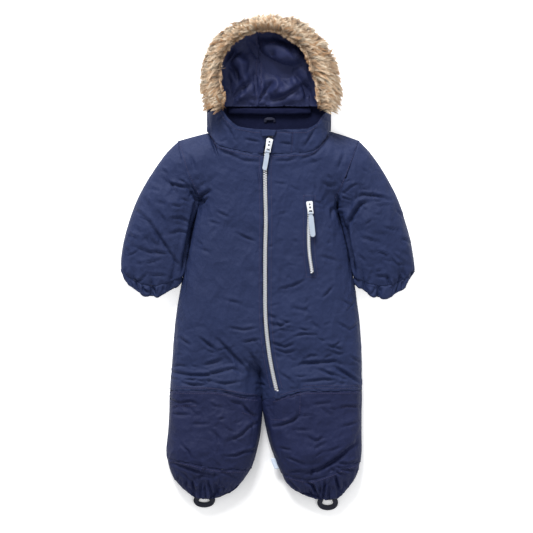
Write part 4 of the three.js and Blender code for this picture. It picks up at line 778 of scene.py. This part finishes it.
def rims_of(piece):
    """The pair of vertices of each creased edge."""
    mesh = piece.data
    sharp = mesh.attributes["crease_edge"].data
    return [[mesh.vertices[i] for i in e.vertices] for e in mesh.edges if sharp[e.index].value > 0.5]


def rim_tree(points):
    """A tree of points along the rims, to tell how far from a seam a point is."""
    if not points:
        return None
    fine = []
    for a, b in zip(points[::2], points[1::2]):
        fine += [a.lerp(b, k / 6) for k in range(7)]
    tree = KDTree(len(fine))
    for i, p in enumerate(fine):
        tree.insert(p, i)
    tree.balance()
    return tree


TUBES = ("sleeve", "cuff", "ankle")     # their flat width is measured all round
SLACK = 1.02                            # how much larger than its surface a flat cut is at least
FULLNESS = 0.31                         # least share of its flat cut that a surface fills


def declare(piece):
    """States the flat cut of a piece: half of a closed wall's surface, as wide and long as the piece lies."""
    mesh = piece.data
    area = sum(p.area for p in mesh.polygons) / 2
    co = np.array([v.co for v in mesh.vertices])
    width, length = (co.max(0) - co.min(0))[:2]
    if any(word in piece.name for word in TUBES):
        width *= 2
    grow = math.sqrt(max(1.0, SLACK * area / (width * length)))
    width, length = float(width) * grow, float(length) * grow
    area = float(max(area, FULLNESS * width * length))
    print(piece.name, "cut", round(width, 3), "by", round(length, 3), "m, area", round(area, 4))


print("dressing tools ready")

# %% [markdown]
# ## The body, sleeves and legs
#
# All the padded pieces of the shell take the same treatment. The knee and ankle panels are the darker
# cloth. The back and the outer hood lie under the rest and stay smooth.

# %% Dress the padded pieces
cloth = {}
for nodes, *treatment in [
    ("front_right front_left sleeve_right sleeve_left", "shell", PADDED, "laid", 2, True),
    ("knee_right knee_left", "panel", PADDED, "laid", 2, True),
    ("ankle_right ankle_left", "panel", PADDED, "gathered", 2, True),
    ("cuff_right cuff_left", "shell", FIRM, "gathered", 2, True),
    ("collar_right collar_left", "shell", FIRM, "laid", 3, False),
    ("back", "shell", UNDER, "laid", 2, False),
    # The cloth inside the neck takes the dark colours of painted shade.
    ("collar_back", "throat", UNDER, "laid", 2, False),
    ("hood_right hood_left", "shell", UNDER, "laid", 2, False),
    ("hood_lining_right hood_lining_left", "lining", SATIN, "laid", 3, False),
    ("zip_garage", "shell", UNDER, "laid", 2, False),
    ("pocket_tape", "shell", UNDER, "laid", 1, False),
]:
    for node in nodes.split():
        cloth[node] = dress(node, *treatment)
print(sum(len(o.data.polygons) for o in cloth.values()), "faces of cloth")

# %% [markdown]
# ## Finding the cloth's surface
#
# Stitches, teeth and such lie on the cloth. A ray straight down from above finds the height there.


# %% Height of the cloth
def tree_of(objects):
    verts, faces = [], []
    for o in objects:
        shift = len(verts)
        verts += [v.co.copy() for v in o.data.vertices]
        faces += [[i + shift for i in p.vertices] for p in o.data.polygons]
    return BVHTree.FromPolygons(verts, faces)


cloth_tree = tree_of(cloth.values())
DROP_FROM = 0.2


def drop(tree, point, otherwise=0.045):
    """The point moved straight down on to a surface, and the surface's normal there."""
    hit, normal, _, _ = tree.ray_cast(Vector((point.x, point.y, DROP_FROM)), Vector((0, 0, -1)))
    if hit is None:
        return Vector((point.x, point.y, otherwise)), Vector((0, 0, 1))
    return hit, normal


# %% [markdown]
# ## Many small things as one mesh
#
# A stitch or a tooth is a bevelled block, modelled once with bmesh and copied along a line. Joining the
# copies into one mesh keeps the scene light.


# %% Copies along a line
def template(make):
    """Vertices and faces of a small shape that `make` builds in a bmesh."""
    bm = bmesh.new()
    make(bm)
    bm.verts.index_update()
    verts = np.array([v.co[:] for v in bm.verts])
    faces = [[v.index for v in f.verts] for f in bm.faces]
    bm.free()
    return verts, faces


def bevelled(size, bevel, segments=1):
    def make(bm):
        bmesh.ops.create_cube(bm, size=1.0)
        bmesh.ops.scale(bm, verts=bm.verts, vec=size)
        bmesh.ops.bevel(bm, geom=bm.edges[:] + bm.verts[:], offset=bevel, segments=segments, profile=0.5,
                        affect="EDGES", material=-1)
    return template(make)


def scatter(name, shape, frames, finish):
    """One object of the garment, made of a copy of the shape in each frame, a 4 by 4 matrix."""
    verts, faces = shape
    points, polygons = [], []
    for matrix in frames:
        shift = len(points)
        m = np.array(matrix)
        points += (verts @ m[:3, :3].T + m[:3, 3]).tolist()
        polygons += [[i + shift for i in f] for f in faces]
    mesh = bpy.data.meshes.new(name)
    mesh.from_pydata(points, [], polygons)
    mesh.materials.append(finishes[finish])
    shade_smooth(mesh)
    made = add(name, mesh)
    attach(made, "garment")
    return made


def frame_at(point, along, normal):
    """A matrix whose X runs along the line and whose Z is the surface's normal."""
    x = (along - normal * along.dot(normal)).normalized()
    y = normal.cross(x).normalized()
    matrix = Matrix((x, y, normal)).transposed().to_4x4()
    matrix.translation = point
    return matrix


def walk(points, step):
    """Points a step apart along a plan polyline, each with its direction."""
    left = 0.0
    for a, b in zip(points, points[1:]):
        run = b - a
        length = run.length
        direction = run.normalized()
        while left < length:
            yield a + direction * left, direction
            left += step
        left -= length


# %% [markdown]
# ## Topstitching
#
# The maker runs a row of stitches beside each seam. Each stitch is a short rounded bar of thread, sunk a
# little into the cloth at its ends, with a gap where the thread dives.

# %% Lines of stitches
STITCH = 2.6 * MM
STITCH_PITCH = 3.6 * MM
THREAD = 0.34 * MM
stitch = bevelled((STITCH, THREAD * 2, THREAD * 1.6), THREAD * 0.5)
Step = namedtuple("Step", "start end drop")     # where along x a seam steps down, and how far
knee_steps = [Step(-90, -10, 12), Step(-10, -6, 4), Step(-6, 66, -16)]
ankle_steps = [Step(-160, -60, 16), Step(-12, 12, 2), Step(-6, 76, 16), Step(60, 160, -29)]


def seam_y(base, steps, x):
    return base - sum(s.drop * smoothstep((x - s.start) / (s.end - s.start)) for s in steps)


def spaced(low, high, count):
    return [low + (high - low) * i / (count - 1) for i in range(count)]


stitch_lines = [[at(zip_x(y) + side, y) for y in spaced(170, -200, 60)] for side in (-9.5, 9.5)]
for low, high in ((-155, -14), (12, 149)):
    stitch_lines += [[at(x, seam_y(-205, knee_steps, x) + off) for x in spaced(low, high, 30)]
                     for off in (4, -4)]
for low, high in ((-153, -32), (30, 146)):
    stitch_lines.append([at(x, seam_y(-315, ankle_steps, x) - 4) for x in spaced(low, high, 24)])
seam_lines = {
    "neck, right": [(-90, 204), (-79, 184), (-58, 178), (-27, 170.5), (-12, 168.5)],
    "neck, left": [(12, 168.5), (44, 170.5), (69, 171.5), (83, 181), (101, 205)],
    "throat, right": [(-88, 239), (-74, 240), (-67, 228), (-50, 213), (-19, 207), (-8, 207)],
    "throat, left": [(16, 207), (64, 207), (79, 216), (87, 229), (95, 234)],
    "pocket, right": [(59.5, 106), (59, 52), (60, 8), (64, -23)],
    "pocket, left": [(77.5, 106), (76, 52), (77.5, 8), (82, -23)],
    "pocket, top": [(59.5, 106), (77.5, 106)],
    "pocket, foot": [(64, -23), (82, -23)],
    "armhole, right": [(-139, 190), (-133, 172), (-127, 150), (-117, 126), (-106, 106)],
    "armhole, left": [(145, 191), (139, 172), (130, 150), (121, 126), (110, 104)],
    "hood lining, right row": [(-16, y) for y in spaced(262, 366, 12)],
    "hood lining, left row": [(-8.5, y) for y in spaced(262, 366, 12)],
    "collar": [(42, 206), (40, 174)],
    "right knee, outer tuck": [(-153, -230), (-113, -229)],
    "right knee, inner tuck": [(-38, -240), (-18, -246)],
    "left knee, outer tuck": [(122, -231), (152, -231)],
    "left knee, inner tuck": [(8, -251), (33, -252)],
    "left knee, upright": [(54, -208), (53, -241)],
    "above the right knee": [(-153, -198), (-100, -199), (-60, -204), (-14, -212)],
    "above the left knee": [(60, -196), (149, -197)],
}
stitch_lines += [[at(x, y) for x, y in line] for line in seam_lines.values()]
STEEPEST = 0.25     # least upright part of the normal where a stitch still shows
places = []
for line in stitch_lines:
    for point, along in walk(line, STITCH_PITCH):
        hit, normal = drop(cloth_tree, point)
        if normal.z > STEEPEST:
            places.append(frame_at(hit + normal * THREAD * 0.35, along, normal))
scatter("stitches", stitch, places, "thread")
print(len(places), "stitches")

# %% [markdown]
# ## Zips
#
# A moulded zip is two rows of small teeth that interlock. One tooth is a bevelled block, and each row is
# set half a pitch behind the other, which gives the checkered look from above. The chain's solid stays
# beneath them as the dark ground that shows between the teeth.

# %% Teeth
TOOTH = Vector((1.9, 2.8, 1.8)) * MM
TOOTH_PITCH = 3.8 * MM
TOOTH_LIFT = 0.25 * MM
tooth = bevelled(TOOTH, 0.28 * MM)


def teeth(name, node, line, aside):
    """Two rows of teeth on a chain, each row this far aside of the line."""
    chain = tree_of([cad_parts[node]])
    frames = []
    for row in (-1, 1):
        for point, along in walk(line, TOOTH_PITCH):
            start = point + along * (TOOTH_PITCH / 2 if row > 0 else 0)
            across = Vector((-along.y, along.x, 0)) * row * aside
            hit, normal = drop(chain, start + across)
            if normal.z > 0.5:
                frames.append(frame_at(hit + normal * TOOTH_LIFT, along, normal))
    return scatter(name, tooth, frames, "zip")


main_line = [at(zip_x(y), y) for y in spaced(198, -203, 90)]
main_teeth = teeth("main_zip_teeth", "zip_chain", main_line, 1.35 * MM)
pocket_rows = [(68.1, 94), (68, 78), (66.9, 52), (67.3, 26), (69, 8), (72.7, -16)]
pocket_teeth = teeth("pocket_zip_teeth", "pocket_chain", [at(x, y) for x, y in pocket_rows], 1.1 * MM)
print(len(main_teeth.data.polygons) + len(pocket_teeth.data.polygons), "faces of teeth")

# %% Openings in the sliders, as thin near-black blocks of painted shade, and the bar that ends the main zip
Mark = namedtuple("Mark", "x y width length")
marks = {       # each slider's turn in degrees, and its openings
    "zip_slider": (-10, [Mark(4.6, 192, 2.4, 2.6), Mark(3.7, 187, 2.8, 3.0), Mark(2.6, 180.6, 5.0, 1.8)]),
    "pocket_slider": (6, [Mark(68.7, 92.5, 2.4, 2.6), Mark(69.3, 87.5, 2.8, 3.0), Mark(70.2, 82, 5.0, 1.8)]),
}
OPENING_HEIGHT = 0.5 * MM
ZIP_END = -211                              # the y of the bar
BAR = Vector((10.5, 13, 3.4)) * MM
BAR_SINK = 1.6 * MM
block = bevelled((1, 1, 1), 0.22, 2)
mark_frames = []
for node, (turn, openings) in marks.items():
    for mark in openings:
        hit, _ = drop(tree_of([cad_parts[node]]), at(mark.x, mark.y))
        size = Matrix.Diagonal((mark.width * MM, mark.length * MM, OPENING_HEIGHT, 1))
        mark_frames.append(Matrix.Translation(hit) @ Matrix.Rotation(math.radians(turn), 4, "Z") @ size)
scatter("slider_openings", block, mark_frames, "dark")
end_hit, _ = drop(tree_of([cloth["front_left"]]), at(zip_x(-210) + 6.5, -210))
bar_place = at(zip_x(ZIP_END), ZIP_END)
bar_place.z = end_hit.z - BAR_SINK
scatter("zip_bar", block, [Matrix.Translation(bar_place) @ Matrix.Diagonal((*BAR, 1))], "shell")
print(len(mark_frames), "slider openings")

# %% Finishes of the CAD pieces that stay
for zipper in ("zip", "pocket"):
    for part, finish in (("chain", "chain_base"), ("slider", "zip"), ("pull", "pull")):
        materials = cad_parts[f"{zipper}_{part}"].data.materials
        materials.clear()
        materials.append(finishes[finish])
print("chains, sliders and pulls keep their CAD shape")

# %% The band inside the neck
def band_shape(bm):
    """A strip of one by one, domed across its width and waved a little along its length."""
    bmesh.ops.create_grid(bm, x_segments=80, y_segments=8, size=0.5)
    for v in bm.verts:
        dome = 1 - (2 * v.co.y) ** 4 - (2 * v.co.x) ** 6
        v.co.z = dome + 0.3 * noise.noise(Vector((v.co.x * 9, v.co.y * 2, 0)))
        v.co.y += 0.3 * v.co.x ** 2 + 0.06 * noise.noise(Vector((v.co.x * 6, 3, 0)))


BAND = Vector((132, 11, 2.4)) * MM
BAND_Z = 10.6 * MM
band_frame = Matrix.Translation(at(5, 243) + Vector((0, 0, BAND_Z))) @ Matrix.Diagonal((*BAND, 1))
# The band takes the same dark colours of painted shade as the neck's cloth.
band = scatter("neck_band", template(band_shape), [band_frame], "throat")

# %% Narrow woven pieces
TAPE_LENGTH = 0.41
TRIM_GRAIN = 0.12 * MM
for node, finish in (("zip_tape", "tape"), ("stirrup_right", "elastic"), ("stirrup_left", "elastic"),
                     ("hanger_loop", "tape"), ("seam_tab", "label")):
    trim = quads_of(node, f"trim_{node}")
    subdivide(trim, 2)
    for v in trim.data.vertices:
        v.co += v.normal * TRIM_GRAIN * noise.noise(v.co / 0.004)
    shade_smooth(trim.data)
    trim.data.materials.append(finishes[finish])
    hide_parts(node)
    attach(trim, "garment")
    if node == "zip_tape":
        area = sum(f.area for f in trim.data.polygons) / 2
        area / TAPE_LENGTH
        area * 0.999
        print("zip tape", round(area / TAPE_LENGTH, 4), "m wide")
    print(node, [round(v, 4) for v in trim.dimensions], len(trim.data.polygons))

# %% [markdown]
# ## Fur
#
# The trim is long imitation fur on a knitted strip. Its hairs cling together in pointed locks that lean
# outwards over the hood's edge, and droop at its sides. A brown core roll hides the gaps. Each lock gets
# a root on the core, a tip, a colour and two dozen hairs, and each hair is a thin tapering ribbon that
# bends from its root to the lock's tip. The hairs' colour comes from how far along they are and from
# their lock.

# %% The rim's two edges
rims = [            # x and y of the inner edge, then of the outer edge
    (-69, 247, -97, 243), (-65, 263, -104, 262), (-71, 286, -107, 286), (-73, 311, -105, 312),
    (-68, 329, -101, 337), (-55, 347, -86, 362), (-36, 361, -60, 384), (-14, 368, -24, 395),
    (6, 368, 12, 397.5), (23, 364, 44, 395), (41, 353, 72, 382), (57, 338, 96, 360),
    (65, 321, 112, 333), (71, 304, 119, 305), (78, 287, 121, 283), (79, 270, 121, 264), (83, 246, 112, 241),
]
FUR_LOW, FUR_HIGH = (corner.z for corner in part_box("fur_trim"))


def rim_at(t):
    """Inner and outer edge of the fur at a share t of the trim's length."""
    place = min(max(t, 0), 0.99999) * (len(rims) - 1)
    i = int(place)
    inner_x, inner_y, outer_x, outer_y = (a + (b - a) * (place - i) for a, b in zip(rims[i], rims[i + 1]))
    return at(inner_x, inner_y), at(outer_x, outer_y)


# %% Finish of the fur
def fur_finish(name, roughness):
    f = Finish(name)
    place = f.node("Attribute", {"attribute_name": "hair"}, out="Color")
    split = f.tree.nodes.new("ShaderNodeSeparateColor")
    plug(f.tree, split.inputs[0], place)
    along, tone, warm = (Value(f.tree, split.outputs[i]) for i in range(3))
    root = f.blend(warm, colour(66, 54, 48), colour(122, 84, 54))
    tip = f.blend(tone, colour(190, 145, 99), colour(255, 242, 217))
    warm_tip = f.blend(warm * 0.5, tip, colour(216, 164, 112))
    hair = f.blend(along ** 0.8, root, warm_tip)
    streak = f.noise(420, 2.0)
    f.surface(Base_Color=f.blend(streak * 0.25, hair, colour(110, 94, 82)), Roughness=roughness)
    f.shader.inputs["Specular IOR Level"].default_value = 0.35
    return f.material


finishes["fur"] = fur_finish("fur", 0.55)
finishes["fur_core"] = plain("fur_core", (120, 92, 66), (70, 54, 42), 0.9, 500, 0.0006)

# %% The core roll
core = quads_of("fur_trim", "fur_core")
subdivide(core, 1)
CORE_INSET = 8.5 * MM
normals = [v.normal.copy() for v in core.data.vertices]
for v, n in zip(core.data.vertices, normals):
    v.co -= n * CORE_INSET
shade_smooth(core.data)
core.data.materials.append(finishes["fur_core"])
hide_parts("fur_trim")
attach(core, "garment")
print("fur core from", round(FUR_LOW, 3), "to", round(FUR_HIGH, 3))

# %% Locks and hairs
random.seed(7)
rng = np.random.default_rng(7)
Layer = namedtuple("Layer", "name locks hairs root_from root_to reach_from reach_to lift warm")
layers = [
    Layer("fur_under", 560, 24, 0.42, 0.7, 0.34, 0.54, 0.45, 0.15),
    Layer("fur_middle", 700, 24, 0.22, 0.5, 0.34, 0.58, 0.8, 0.2),
    Layer("fur_over", 760, 24, 0.06, 0.36, 0.3, 0.58, 0.97, 0.35),
    Layer("fur_inner", 300, 22, 0.05, 0.16, -0.1, -0.02, 0.6, 0.75),
]
HAIR_SEGMENTS = 4
HAIR_WIDTH = 0.5 * MM
DROOP = 18 * MM         # how far the tips hang down at the hood's sides, at most
TOP_REACH = 0.16        # how much further the hairs reach at the top of the hood, as a share of the trim
END_LIFT = 5 * MM       # how far the tips are raised again at the trim's two ends


def lock(t, layer):
    """Root, middle and tip of one lock of the layer, at a share t of the trim."""
    inner, outer = rim_at(t)
    ahead = rim_at(t + 0.012)[0] - rim_at(t - 0.012)[0]
    ahead.normalize()
    across = outer - inner
    width = across.length
    a = random.uniform(layer.root_from, layer.root_to)
    reach = random.uniform(layer.reach_from, layer.reach_to)
    high = FUR_HIGH - FUR_LOW
    arch = math.sin(math.pi * min(max(a, 0.05), 0.95))
    root = inner + across * a
    root.z = FUR_LOW + high * (0.24 + 0.3 * arch)
    side = abs(across.x) / width
    end = min(a + reach, 1.02 + TOP_REACH * (1 - side))
    tip = inner + across * end
    tip += ahead * random.gauss(0, 7) * MM
    droop = DROOP * side * random.uniform(0.2, 1.0) * (1 if reach > 0 else 0.3)
    tip.y -= droop * smoothstep(min(t, 1 - t) / 0.14)
    tip.y += END_LIFT * (1 - smoothstep(min(t, 1 - t) / 0.06))
    edge = smoothstep((end - 0.5) / 0.5)
    tip.z = FUR_LOW + high * (layer.lift * random.uniform(0.7, 1.0) * (1 - 0.6 * edge))
    middle = root.lerp(tip, 0.45)
    middle.z = FUR_LOW + high * min(layer.lift * random.uniform(0.92, 1.1), 1.0)
    return root, middle, tip, ahead


def hair_mesh(layer):
    """The mesh of a layer's locks. The attribute hair holds how far along, the tone and the warmth."""
    points, faces, paint = [], [], []
    for k in range(layer.locks):
        t = (k + random.random()) / layer.locks
        root, middle, tip, ahead = lock(t, layer)
        tone = random.betavariate(1.0, 0.8)
        warm = min(max(random.gauss(layer.warm, 0.22), 0), 1)
        wide = random.uniform(1.0, 2.5) * MM
        for _ in range(layer.hairs):
            spread = Vector(rng.normal(0, 1, 3)) * wide
            r = root + Vector((spread.x, spread.y, spread.z * 0.4))
            loose = random.uniform(0.05, 0.35)
            e = tip + Vector((spread.x, spread.y, spread.z * 0.5)) * loose
            m = middle + Vector((spread.x, spread.y, spread.z * 0.4)) * 0.75
            short = random.uniform(0.72, 1.0)
            face_turn = random.uniform(-0.7, 0.7)
            base = len(points)
            for s in range(HAIR_SEGMENTS + 1):
                u = s / HAIR_SEGMENTS * short
                p = r * (1 - u) ** 2 + m * (2 * u * (1 - u)) + e * (u * u)
                direction = (m - r) * (1 - u) + (e - m) * u
                flat = direction.cross(Vector((0, 0, 1)))
                flat = flat.normalized() if flat.length > 1e-6 else ahead
                flat.z = face_turn * 0.6
                half = flat * HAIR_WIDTH * 0.5 * (1 - 0.8 * u)
                p.z = min(p.z, FUR_HIGH + 2 * MM)
                points += [p - half, p + half]
                paint += [(u, tone, warm, 1)] * 2
                if s:
                    i = base + 2 * s
                    faces.append((i - 2, i - 1, i + 1, i))
    mesh = bpy.data.meshes.new(layer.name)
    mesh.from_pydata([p[:] for p in points], [], faces)
    hair = mesh.attributes.new("hair", "FLOAT_COLOR", "POINT")
    hair.data.foreach_set("color", np.array(paint, dtype=np.float32).ravel())
    mesh.materials.append(finishes["fur"])
    return mesh


total_hairs = 0
for layer in layers:
    fur = add(layer.name, hair_mesh(layer))
    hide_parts("fur_trim")
    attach(fur, "garment")
    total_hairs += layer.locks * layer.hairs
print(total_hairs, "hairs")

# %% [markdown]
# ## The surface
#
# A wide white floor just under the garment, lit from within.

# %% Floor
FLOOR_SIZE = 6.0        # half its width
FLOOR_DROP = 0.0004
bm = bmesh.new()
bmesh.ops.create_grid(bm, x_segments=1, y_segments=1, size=FLOOR_SIZE)
mesh = bpy.data.meshes.new("floor")
bm.to_mesh(mesh)
bm.free()
mesh.materials.append(finishes["floor"])
floor = add("floor", mesh)
for v in mesh.vertices:
    v.co.z = -FLOOR_DROP
